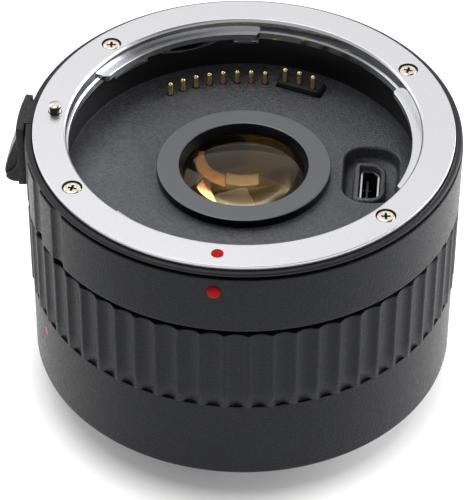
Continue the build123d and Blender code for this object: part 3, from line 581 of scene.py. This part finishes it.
# Index marks. A domed red bead pressed into the shell, a red dot filled into the ring's face,
# and a red line filled into the lower band for the camera side.
dot_circle_r = 29.6
red_enamel = plain_finish("red_enamel", (0.50, 0.004, 0.006), 0.25, specular=0.10)
tint(red_enamel, speckle(red_enamel, 0.9), (0.42, 0.002, 0.004), (0.56, 0.004, 0.006))
relief(red_enamel, speckle(red_enamel, 0.5), 0.01)
bead = turn("index_bead_dome", [
    (0, -0.7), (1.05, -0.7), (1.05, -0.05), (1.03, 0.12), (0.95, 0.28), (0.78, 0.41), (0.50, 0.48),
    (0, 0.50)], 64, closed=False)
settle(bead, bead_place, (0, 90, 0))
swing(bead, index_azimuth)
smooth(bead, 50)
dot = turn("ring_dot", [
    (0, 42.0), (0.9, 42.0), (0.9, 42.14), (0.84, 42.165), (0, 42.17)], 48, closed=False)
settle(dot, (dot_circle_r, 0, 0))
swing(dot, index_azimuth)
smooth(dot)
line = bar("camera_side_line", (33.1, -0.6, 10.1), (33.23, 0.6, 12.1))
ease(line, 0.03, 2)
swing(line, line_azimuth)
for mark, node in ((bead, "index_bead"), (dot, "lens_index_mark"), (line, "camera_index_line")):
    mark.data.materials.append(red_enamel)
    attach(mark, "body")
    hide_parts(node)

# Front mount ring. Stainless steel turned to a satin face, with a short skirt and three inward
# lugs that hold the lens. Recesses take the screws, and one hole lets the lock pin through.
screw_circle_r = 29.42
screw_azimuths = (-149.9, -44.6, 29.5, 135.7)
lock_circle_r = 29.2
lug_places = ((115.7, 62.0), (248.0, 50.0), (-0.7, 54.6))
mount_steel = plain_finish("satin_mount_steel", (0.80, 0.80, 0.80), 0.30, metallic=1.0)
blasted = speckle(mount_steel, 0.20, 2.0)
tint(mount_steel, blasted, (0.68, 0.68, 0.70), (0.77, 0.77, 0.79), 0.30, 0.70)
shine(mount_steel, speckle(mount_steel, 0.5, 3.0), 0.28, 0.34)
relief(mount_steel, speckle(mount_steel, 0.25, 1.0), 0.0012)
polished_steel = plain_finish("polished_bore_steel", (0.60, 0.61, 0.62), 0.13, metallic=1.0)
lathe_marks = speckle(polished_steel, 1.2, 1.0, (1, 1, 8))
tint(polished_steel, lathe_marks, (0.60, 0.61, 0.63), (0.70, 0.71, 0.72))
shine(polished_steel, speckle(polished_steel, 1.5), 0.12, 0.18)
relief(polished_steel, speckle(polished_steel, 1.6, 0.0, (1, 1, 6)), 0.0006)
# Near-black steel painted on the walls of the screw recesses, the pin hole and the screws' cross
# slots: painted shade in the holes.
recess_shade_steel = plain_finish("painted_recess_shade_steel", (0.06, 0.058, 0.055), 0.55, metallic=1.0)
tint(recess_shade_steel, speckle(recess_shade_steel, 0.4), (0.04, 0.038, 0.035), (0.09, 0.085, 0.08))
relief(recess_shade_steel, speckle(recess_shade_steel, 0.2), 0.01)
ring = turn("lens_mount_ring", [
    (26.88, 38.8), (26.88, 39.93), (26.94, 39.99), (27.14, 40.0), (27.14, 41.72), (27.17, 41.80),
    (27.40, 42.16), (27.48, 42.2), (27.6, 42.2), (32.08, 42.2), (32.18, 42.2), (32.22, 42.18),
    (32.25, 42.13), (32.25, 40.5), (27.95, 40.5), (27.95, 38.8)])
for azimuth in screw_azimuths:
    place = on_circle(screw_circle_r, azimuth)
    cut(ring, drill(1.55, place, 41.38, 43.0))
    cut(ring, drill(1.1, place, 40.0, 43.0))
cut(ring, drill(1.06, on_circle(lock_circle_r, release_azimuth), 40.0, 43.0))
cut(ring, drill(0.95, on_circle(dot_circle_r, index_azimuth), 42.0, 43.0))
ease(ring, 0.05, 1, 50)


def ring_piece(name, inner, outer, middle, sweep, low, high, taper=0.0):
    """A part of a ring, spun from a small plate through its sweep. Taper draws its ends in."""
    all_clear()
    bpy.ops.mesh.primitive_plane_add(size=1, rotation=(math.radians(90), 0, 0))
    piece = bpy.context.object
    piece.name = name
    piece.scale = ((outer - inner) * mm, (high - low) * mm, 1)
    piece.location = ((inner + outer) / 2 * mm, 0, (low + high) / 2 * mm)
    apply_transform()
    swing(piece, middle - sweep / 2)
    bpy.ops.object.mode_set(mode="EDIT")
    spin(max(8, int(sweep)), -math.radians(sweep))
    close_up(doubled=False)
    if taper:
        ends = (middle - sweep / 2, middle + sweep / 2)

        def inner_end(vert):
            """True for the points at the two ends, on the inner face."""
            off_ends = [abs((azimuth_of(vert.co) - end + 180) % 360 - 180) for end in ends]
            return min(off_ends) < 0.3 and from_axis(vert.co) < (inner + 0.2) * mm

        edit(piece)
        select_where(piece, inner_end)
        grow = 1 + taper / inner
        bpy.ops.transform.resize(value=(grow, grow, 1), center_override=(0, 0, 0))
        bpy.ops.object.mode_set(mode="OBJECT")
    return piece


ring_parts = []
for middle, reach in lug_places:
    lug = ring_piece("lug", 25.75, 27.9, middle, reach, 39.35, 40.4, 0.8)
    ring_parts.append(ease(lug, 0.08, 1))
    for start, end in ((0.3 - reach / 2, -21.7), (10.3, reach / 2 - 5.7)):
        seat = ring_piece(
            "spring_seat", 26.15, 27.2, middle + (start + end) / 2, end - start, 38.25, 39.4)
        ring_parts.append(ease(seat, 0.08, 2))
join(ring, ring_parts)
smooth(ring, 35)
wells = [(*on_circle(screw_circle_r, azimuth), 1.6) for azimuth in screw_azimuths]
wells.append((*on_circle(lock_circle_r, release_azimuth), 1.1))


def in_well(face):
    """True for the upright walls of the screw recesses and the pin hole."""
    here = face.center / mm
    near = any(math.hypot(here.x - x, here.y - y) < reach for x, y, reach in wells)
    return near and abs(face.normal.z) < 0.35


def in_throat(face):
    """True for the faces of the ring's bore, but for its flat tops."""
    upright = face.center.z < 41.78 * mm and face.normal.z < 0.7
    return upright and from_axis(face.center) < 27.3 * mm


ring.data.materials.append(mount_steel)
# The upright walls of the screw recesses and the pin hole take the near-black steel: painted
# shade.
repaint(ring, recess_shade_steel, in_well)
repaint(ring, polished_steel, in_throat)
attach(ring, "body")
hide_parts("front_mount_ring")

# Mount screws. Four small nickel-plated screws with cross recesses and rounded heads, sunk
# into the ring; each is made once and set at its place on the screw circle.
screw_plate = plain_finish("bright_nickel", (0.80, 0.74, 0.62), 0.22, metallic=1.0)
tint(screw_plate, speckle(screw_plate, 0.5), (0.70, 0.62, 0.48), (0.86, 0.81, 0.70))
relief(screw_plate, speckle(screw_plate, 0.25), 0.01)


def in_recess(face):
    """True for the faces of a screw's cross recess, the top of the head at height 0."""
    return -0.65 < face.center.z / mm < -0.12 and from_axis(face.center) < 0.86 * mm


def cross_screw(name):
    """One screw hanging from height 0, the top of its head."""
    screw = turn(name, [
        (0, -5.6), (0.85, -5.6), (0.85, -0.75), (1.40, -0.75), (1.40, -0.20), (1.34, -0.09),
        (1.20, -0.02), (1.0, 0), (0.9, 0), (0, 0)], 64, closed=False)
    for quarter in (45, 135):
        slot = bar("slot", (-0.84, -0.20, -0.60), (0.84, 0.20, 0.3))
        edit(slot)
        select_where(slot, lambda vert: vert.co.z < 0)
        bpy.ops.transform.resize(value=(0.55, 0.7, 1), center_override=(0, 0, 0))
        cut(screw, swing(slot, quarter))
    smooth(ease(screw, 0.03, 2, 40), 35)
    screw.data.materials.append(screw_plate)
    # The cross recess takes the near-black steel: painted shade in the slots.
    repaint(screw, recess_shade_steel, in_recess)
    return screw


front_screws = cross_screw("lens_side_screws")
settle(front_screws, (screw_circle_r, 0, 42.12))
copies(front_screws, screw_azimuths)
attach(front_screws, "body")
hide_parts("front_mount_screws")

# Leaf springs. Thin bowed strips of bright spring steel below the lugs, which press the lens's
# own lugs against the ring.
spring_steel = plain_finish("bright_spring_steel", (0.40, 0.40, 0.39), 0.22, metallic=1.0)
relief(spring_steel, speckle(spring_steel, 0.3, 2.0, (1, 1, 6)), 0.004)
dress(["bayonet_leaf_springs"], spring_steel)

# Front baffle. A matt black moulded cup below the ring, with the floor that light-traps the
# optics and a rounded pocket with a raised rim round the data socket.
socket_azimuth, socket_radius = -4.4, 19.55
pin_circle_r = 22.55
raised_pin_azimuths = [60.95 + 6.1 * count for count in range(3)]
floor_pin_azimuths = [81.5 + 5.73 * count for count in range(8)]
baffle_black = plain_finish(
    "matt_black_moulding", (0.012, 0.012, 0.014), 0.42, specular=1.0, glint=(0.90, 0.93, 1.0))
tint(baffle_black, speckle(baffle_black, 0.36, 2.0), (0.024, 0.024, 0.029), (0.075, 0.076, 0.086))
relief(baffle_black, speckle(baffle_black, 0.32, 2.0), 0.100)
shine(baffle_black, speckle(baffle_black, 2.5), 0.36, 0.44)
# A darker copy of the cup's moulding for its upright wall: painted shade on the wall inside the
# ring.
wall_painted_shade_black = plain_finish("cup_wall_painted_shade", (0.005, 0.005, 0.0055), 0.40, specular=0.3)
tint(wall_painted_shade_black, speckle(wall_painted_shade_black, 0.4), (0.004, 0.004, 0.0045), (0.007, 0.007, 0.0075))
relief(wall_painted_shade_black, speckle(wall_painted_shade_black, 0.25), 0.004)
cup = turn("front_cup", [
    (13.0, 32.1), (28.0, 32.1), (28.0, 38.75), (27.42, 38.75), (27.35, 38.65), (27.35, 33.34),
    (27.31, 33.3), (13.0, 33.3)])


def flat_plate(name, width, length, height):
    """A flat plate on the axis, at a height in millimetres, in edit mode with all selected."""
    all_clear()
    bpy.ops.mesh.primitive_plane_add(size=1, location=(0, 0, height * mm))
    plate = bpy.context.object
    plate.name = name
    plate.scale = (width * mm, length * mm, 1)
    apply_transform()
    bpy.ops.object.mode_set(mode="EDIT")
    bpy.ops.mesh.select_all(action="SELECT")
    return plate


def rounded_plate(name, width, length, radius, height):
    """A flat plate with rounded corners."""
    plate = flat_plate(name, width, length, height)
    bpy.ops.mesh.bevel(offset=radius * mm, segments=8, affect="VERTICES")
    return plate


def socket_plate(name, width, length, corner, radius, height):
    """The socket's outline: a plate with the two outer corners cut and all corners eased."""
    plate = flat_plate(name, width, length, height)
    select_where(plate, lambda vert: vert.co.x > 0)
    bpy.ops.mesh.bevel(offset=corner * mm, segments=1, affect="VERTICES")
    bpy.ops.mesh.select_all(action="SELECT")
    bpy.ops.mesh.bevel(offset=radius * mm, segments=5, affect="VERTICES")
    return plate


def raise_plate(plate, steps):
    """Extrudes the plate's face through (rise, draw-in) steps in millimetres, and closes it."""
    edit(plate)
    bpy.ops.mesh.select_all(action="SELECT")
    bpy.ops.mesh.duplicate()
    bpy.ops.mesh.flip_normals()
    for rise, draw in steps:
        bpy.ops.mesh.extrude_region_move(TRANSFORM_OT_translate={"value": (0, 0, rise * mm)})
        if draw:
            shape = bmesh.from_edit_mesh(plate.data)
            here = [vert.co for vert in shape.verts if vert.select]
            wide = max(co.x for co in here) - min(co.x for co in here)
            long = max(co.y for co in here) - min(co.y for co in here)
            drawn = (1 - 2 * draw * mm / wide, 1 - 2 * draw * mm / long, 1)
            bpy.ops.transform.resize(value=drawn, center_override=(0, 0, 0))
    close_up()
    return plate


def to_socket(piece, out=0.0, along=0.0):
    """Moves a piece made at the origin to the socket's place."""
    settle(piece, (socket_radius + out, along, 0))
    return swing(piece, socket_azimuth)


pocket_cutter = raise_plate(rounded_plate("pocket", 7.0, 11.7, 3.0, 30.75), [
    (0.12, -0.35), (0.25, -0.25), (0.45, -0.12), (1.3, -0.03), (0.20, -0.05), (0.13, -0.09),
    (0.11, -0.12), (1.0, 0)])
to_socket(pocket_cutter, 0.15, 1.0)
pocket_wall = raise_plate(rounded_plate("pocket_wall", 10.4, 15.1, 4.4, 29.7), [(2.6, 0)])
to_socket(pocket_wall, 0.15, 1.0)
combine(cup, pocket_wall, "UNION")
cut(cup, pocket_cutter)
bezel = raise_plate(socket_plate("bezel", 4.95, 9.4, 1.5, 0.85, 29.9), [
    (2.40, 0), (0.16, 0.04), (0.12, 0.10), (0.05, 0.14)])
bezel_hole = raise_plate(socket_plate("bezel_hole", 3.2, 7.6, 0.95, 0.45, 29.0), [
    (3.35, 0), (0.15, -0.05), (0.10, -0.10), (0.5, 0)])
cut(bezel, bezel_hole)
to_socket(bezel)
socket_way = raise_plate(socket_plate("socket_way", 3.2, 7.6, 1.05, 0.35, 29.0), [(2.2, 0)])
cut(cup, to_socket(socket_way))
raised_window = bar("raised_window", (21.6, -3.9, 31.0), (24.8, 3.9, 35.0))
cut(cup, swing(raised_window, 66.8))
for azimuth in floor_pin_azimuths:
    cut(cup, drill(0.59, on_circle(pin_circle_r, azimuth), 31.0, 35.0, 32))
join(cup, [bezel])
smooth(cup, 35)
cup.data.materials.append(baffle_black)
# The cup's upright wall takes the darker copy: painted shade.
repaint(cup, wall_painted_shade_black, lambda face: from_axis(face.center) > 27.2 * mm)
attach(cup, "body")
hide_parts("front_baffle")

# Data socket. A bright folded steel shell in the pocket's rim, with a black moulded tongue
# nearer its inner side, soldered to a small board below.
socket_steel = plain_finish("nickel_socket", (0.55, 0.55, 0.55), 0.28, metallic=1.0)
relief(socket_steel, speckle(socket_steel, 0.3), 0.004)
socket = raise_plate(
    socket_plate("socket_shell", 2.96, 7.36, 1.0, 0.35, 26.65), [(5.0, 0), (0.05, 0.04)])
socket_hollow = raise_plate(socket_plate("socket_hollow", 2.36, 6.76, 0.85, 0.2, 27.9), [(5.0, 0)])
cut(socket, socket_hollow)
to_socket(socket)
smooth(socket, 35)
socket.data.materials.append(socket_steel)
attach(socket, "body")
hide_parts("usb_shell")
tongue_black = plain_finish("black_tongue", (0.012, 0.012, 0.013), 0.40)
relief(tongue_black, speckle(tongue_black, 0.2), 0.004)
tongue = ease(bar("socket_tongue", (-0.55, -2.3, 26.65), (-0.15, 2.3, 30.95)), 0.08, 2)
tongue_base = bar("tongue_base", (-1.15, -3.3, 26.65), (1.15, 3.3, 27.9))
join(tongue, [tongue_base])
to_socket(tongue)
smooth(tongue)
tongue.data.materials.append(tongue_black)
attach(tongue, "body")
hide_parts("usb_insert")

# Contacts. Eleven gold-plated pins with domed tips stand in a black carrier, three of them on
# its raised block, and each rides down alone on its own spring.
pin_tip, raised_by = 35.6, 1.2
contact_gold = plain_finish("contact_gold", (0.80, 0.54, 0.18), 0.17, metallic=1.0)
tint(contact_gold, speckle(contact_gold, 0.5), (0.86, 0.60, 0.24), (1.0, 0.80, 0.42))
relief(contact_gold, speckle(contact_gold, 0.25), 0.002)
pins = [(azimuth, pin_tip + raised_by) for azimuth in raised_pin_azimuths]
pins += [(azimuth, pin_tip) for azimuth in floor_pin_azimuths]
for number, (azimuth, tip) in enumerate(pins, 1):
    pin = turn("gold_pin_" + str(number), [
        (0, 30.82), (0.75, 30.82), (0.75, 31.27), (0.47, 31.27), (0.47, tip - 0.47),
        (0.455, tip - 0.34), (0.40, tip - 0.21), (0.31, tip - 0.11), (0.19, tip - 0.04),
        (0, tip)], 32, closed=False)
    settle(pin, (*on_circle(pin_circle_r, azimuth), 0))
    smooth(pin, 40)
    pin.data.materials.append(contact_gold)
    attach(pin, "contact_" + str(number))
    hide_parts("contact_pin_" + str(number))
    dress(["contact_spring_" + str(number)], spring_steel)
carrier_black = plain_finish("carrier_black", (0.012, 0.012, 0.013), 0.38)
relief(carrier_black, speckle(carrier_black, 0.15), 0.006)
shine(carrier_black, speckle(carrier_black, 1.5), 0.32, 0.48)
dress(("contact_carrier", "rear_contact_block"), carrier_black)
flex_film = plain_finish("flexible_circuit", (0.45, 0.22, 0.05), 0.35)
tint(flex_film, speckle(flex_film, 0.8, 1.0, (1, 1, 0.1)), (0.40, 0.18, 0.04), (0.55, 0.30, 0.10))
dress(("contact_circuit", "rear_flex_strip"), flex_film)

# Retaining ring round the front glass. Turned black alloy with a flat face, screwed into the
# lens tube; its bore narrows in two steps to the edge of the glass.
ring_black = plain_finish("retaining_ring_black", (0.15, 0.155, 0.165), 0.34, metallic=1.0)
tint(ring_black, speckle(ring_black, 0.15, 2.0), (0.140, 0.146, 0.156), (0.165, 0.172, 0.182))
relief(ring_black, speckle(ring_black, 0.10, 1.0), 0.002)
shine(ring_black, speckle(ring_black, 3.0), 0.32, 0.40)
# Near black for the ring's bore, and for its outer side below the face as painted shade.
bore_black_and_side_shade = plain_finish("glass_ring_bore_black_and_side_shade", (0.003, 0.003, 0.0035), 0.35, specular=0.12)
tint(bore_black_and_side_shade, speckle(bore_black_and_side_shade, 0.3), (0.002, 0.002, 0.0025), (0.004, 0.004, 0.0045))
relief(bore_black_and_side_shade, speckle(bore_black_and_side_shade, 0.12), 0.004)
boss = turn("front_glass_ring", [
    (9.45, 33.09), (10.0, 32.96), (10.4, 32.86), (10.4, 33.35), (13.45, 33.35), (13.45, 34.70),
    (13.40, 34.77), (13.32, 34.8), (13.22, 34.8), (10.22, 34.8), (10.12, 34.8), (10.04, 34.77),
    (10.0, 34.70), (9.75, 34.1)], 288)


def beside_face(face):
    """True for the glass ring's bore and outer side, below its flat face."""
    off_axis = from_axis(face.center)
    return face.center.z < 34.69 * mm and (off_axis < 10.05 * mm or off_axis > 13.0 * mm)


smooth(boss, 32)
boss.data.materials.append(ring_black)
# The bore and the outer side take the near black; on the outer side it is painted shade.
repaint(boss, bore_black_and_side_shade, beside_face)
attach(boss, "body")
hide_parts("front_retaining_ring")


# Optics. Five coated glass elements in one black tube with two spacers. The coating gives the
# glass its amber reflections, and the tube's bore is ridged against stray light.
def optical_glass(name, passed, reflected, colour):
    """Clear glass with a coating that reflects the colour, at a share of bare glass's strength."""
    material = plain_finish(name, passed, 0.0, specular=reflected, glint=colour)
    inputs = material.node_tree.nodes["Principled BSDF"].inputs
    inputs["Transmission Weight"].default_value = 1.0
    inputs["IOR"].default_value = 1.52
    relief(material, speckle(material, 8.0), 0.0005)
    return material


def sag(curve, radius):
    """How far a ground face has curved away from its middle at a radius, by its curve's sign."""
    size = abs(curve)
    return (size - math.sqrt(size ** 2 - radius ** 2)) * (1 if curve > 0 else -1)


def ground_face(edge, curve, radius, steps=16):
    """The (radius, height) points of a ground face from its middle to its edge."""
    radii = [radius * step / steps for step in range(steps + 1)]
    return [(r, edge + sag(curve, radius) - sag(curve, r)) for r in radii]


def element(name, node, glass_kind, radius, high, low, front, rear):
    """A glass element of two ground faces, its edge between them."""
    outline = ground_face(high, front, radius) + ground_face(low, rear, radius)[::-1]
    glass = smooth(turn(name, outline, 128, closed=False), 50)
    glass.data.materials.append(glass_kind)
    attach(glass, "body")
    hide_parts(node)


outer_glass = optical_glass("amber_coated_glass", (0.82, 0.68, 0.42), 0.5, (0.66, 0.45, 0.24))
inner_glass = optical_glass("dark_coated_glass", (0.80, 0.70, 0.50), 0.06, (0.60, 0.50, 0.30))
element("front_glass", "lens_element_1", outer_glass, 10.4, 32.80, 31.20, 40, -30)
element("second_glass", "lens_element_2", inner_glass, 10.4, 31.195, 27.2, -30, 60)
element("third_glass", "lens_element_3", inner_glass, 10.4, 24.0, 19.8, -28, 45)
element("fourth_glass", "lens_element_4", inner_glass, 11.45, 12.55, 10.305, 50, -35)
element("rear_glass", "lens_element_5", inner_glass, 11.45, 10.30, 6.2, -35, -80)
tube_black = plain_finish("ridged_tube_black", (0.010, 0.010, 0.011), 0.50)
relief(tube_black, speckle(tube_black, 0.8, 0.0, (0.001, 0.001, 1)), 0.10)
dress(("lens_tube", "front_lens_spacer", "rear_lens_spacer", "rear_retaining_ring"), tube_black)

# Circuit boards and chips. Green laminate with moulded chips below the main board and a small
# board for the socket; none of it shows from outside.
board_green = plain_finish("green_laminate", (0.015, 0.10, 0.045), 0.35)
tint(board_green, speckle(board_green, 2.0, 4.0), (0.012, 0.08, 0.035), (0.02, 0.13, 0.06))
relief(board_green, speckle(board_green, 1.2), 0.02)
chip_black = plain_finish("moulded_chip", (0.02, 0.02, 0.022), 0.55)
relief(chip_black, speckle(chip_black, 0.2), 0.006)
dress(("main_circuit_board", "usb_circuit_board"), board_green)
dress(["circuit_chips"], chip_black)


# Lens release. A black lever beside the ring with a thumb hook, on a tab through the rim, and
# the bright lock pin that its plate draws down out of the lens.
def spun_plate(name, outline, sweep):
    """A side view of (radius, height) corners, spun through a sweep centred on azimuth 0."""
    piece = trace(name, outline)
    bpy.ops.mesh.select_all(action="SELECT")
    bpy.ops.mesh.edge_face_add()
    spin(12, -math.radians(sweep))
    close_up(doubled=False)
    return swing(piece, -sweep / 2)


lever_coat = powder_coat("lever_coat", (0.026, 0.026, 0.027))
cover = spun_plate("release_thumb_lever", [
    (33.65, 30.6), (33.65, 41.6), (34.62, 41.6), (34.76, 41.56), (34.85, 41.45), (34.88, 41.25),
    (34.88, 30.9), (34.85, 30.72), (34.74, 30.62), (34.6, 30.6)], 14.6)
ease(cover, 0.10, 2, 60)
hook = spun_plate("hook", [
    (34.4, 39.4), (34.88, 39.0), (35.08, 38.6), (35.4, 37.85), (35.9, 36.5), (36.28, 35.4),
    (36.5, 34.75), (36.8, 33.6), (36.95, 33.0), (37.01, 32.5), (36.97, 32.0), (36.8, 31.6),
    (36.5, 31.25), (36.0, 31.0), (34.4, 30.9)], 11.2)
ease(hook, 0.35, 4, 35)
hook_foot = spun_plate("hook_foot", [
    (34.4, 35.6), (34.9, 35.0), (35.13, 34.1), (35.55, 33.3), (36.2, 32.6), (36.85, 32.1),
    (36.8, 31.8), (36.54, 31.45), (36.12, 31.1), (35.5, 30.9), (34.4, 30.85)], 13.6)
ease(hook_foot, 0.25, 3, 35)
tab = bar("tab", (32.45, -2.7, 36.0), (33.68, 2.7, 41.6))
tab_foot = bar("tab_foot", (32.0, -2.68, 36.02), (33.67, 2.68, 40.45))
lever = join(cover, [hook, hook_foot, tab, tab_foot])
swing(lever, release_azimuth)
smooth(lever, 35)
lever.data.materials.append(lever_coat)
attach(lever, "release")
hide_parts("release_lever")
pin_steel = plain_finish("polished_pin_steel", (0.74, 0.71, 0.66), 0.16, metallic=1.0)
tint(pin_steel, speckle(pin_steel, 0.5), (0.66, 0.62, 0.56), (0.82, 0.80, 0.76))
relief(pin_steel, speckle(pin_steel, 0.25, 2.0, (1, 1, 4)), 0.006)
# The pin's upright side is a darker copy of its steel with sharp dark and bright upright streaks:
# painted reflections and shade.
pin_side_with_painted_reflections = plain_finish("pin_side_painted_reflection_steel", (0.30, 0.28, 0.26), 0.18, metallic=1.0)
painted_reflection_streaks = speckle(pin_side_with_painted_reflections, 0.55, 1.0, (1, 1, 0.05))
tint(pin_side_with_painted_reflections, painted_reflection_streaks, (0.05, 0.045, 0.04), (0.72, 0.70, 0.66), 0.42, 0.58)
relief(pin_side_with_painted_reflections, speckle(pin_side_with_painted_reflections, 0.3), 0.002)
lock_pin = turn("lens_lock_pin", [
    (0, 36.85), (0.55, 36.85), (0.55, 40.45), (0.97, 40.45), (0.97, 43.30), (0.95, 43.42),
    (0.88, 43.51), (0.76, 43.55), (0, 43.55)], 64, closed=False)
settle(lock_pin, (lock_circle_r, 0, 0))
swing(lock_pin, release_azimuth)
smooth(lock_pin, 40)
lock_pin.data.materials.append(pin_steel)
# The pin's upright faces take the streaked steel: painted reflections.
repaint(lock_pin, pin_side_with_painted_reflections, lambda face: abs(face.normal.z) < 0.3)
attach(lock_pin, "release")
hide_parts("lock_pin")
dress(("lock_plate", "lock_spring"), spring_steel)

# Camera-side mount. A steel flange with the male bayonet collar and its three lugs, held by
# four screws, with a blind hole for the camera's lock pin.
rear_screw_circle_r = 28.9
rear_screw_azimuths = (20, 110, 200, 290)
rear_lug_azimuths = (115.7, 235.7, -4.3)
rear = turn("camera_mount_flange", [
    (24.75, -4.6), (25.35, -4.6), (25.5, -4.45), (25.5, 0.3), (27.05, 0.3), (27.05, 0),
    (31.45, 0), (31.62, 0.08), (31.7, 0.25), (31.7, 2.0), (24.75, 2.0)])
for azimuth in rear_screw_azimuths:
    place = on_circle(rear_screw_circle_r, azimuth)
    cut(rear, drill(1.6, place, -1.0, 0.95))
    cut(rear, drill(1.1, place, -1.0, 3.0))
cut(rear, drill(1.1, on_circle(lock_circle_r, release_azimuth), -1.0, 1.6))
rear_lugs = []
for azimuth in rear_lug_azimuths:
    rear_lug = ring_piece("rear_lug", 25.2, 26.85, azimuth, 52.0, -3.5, -2.0)
    rear_lugs.append(ease(rear_lug, 0.15, 3))
join(rear, rear_lugs)
smooth(rear, 35)
rear.data.materials.append(mount_steel)
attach(rear, "body")
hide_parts("rear_mount")
rear_screws = cross_screw("camera_side_screws")
settle(rear_screws, (rear_screw_circle_r, 0, 0.2), (180, 0, 0))
copies(rear_screws, rear_screw_azimuths)
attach(rear_screws, "body")
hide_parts("rear_mount_screws")

# Rear baffle and contacts. A moulded black cup inside the bayonet, with the block of eleven
# flat gold pads in its rim.
rear_cup = turn("rear_cup", [
    (18.0, -6.2), (23.9, -6.2), (24.3, -6.1), (24.6, -5.8), (24.7, -5.4), (24.7, 2.0),
    (26.5, 2.0), (26.5, 2.8), (24.1, 2.8), (24.1, -5.2), (19.0, -5.2), (19.0, -1.0),
    (12.6, -1.0), (12.6, -2.0), (17.6, -2.0), (18.0, -2.4)])
cut(rear_cup, ring_piece("rear_window", 20.2, 24.0, 91.25, 73.1, -7.0, -5.1))
smooth(rear_cup, 35)
rear_cup.data.materials.append(baffle_black)
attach(rear_cup, "body")
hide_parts("rear_baffle")
dress(["rear_contact_pads"], contact_gold)
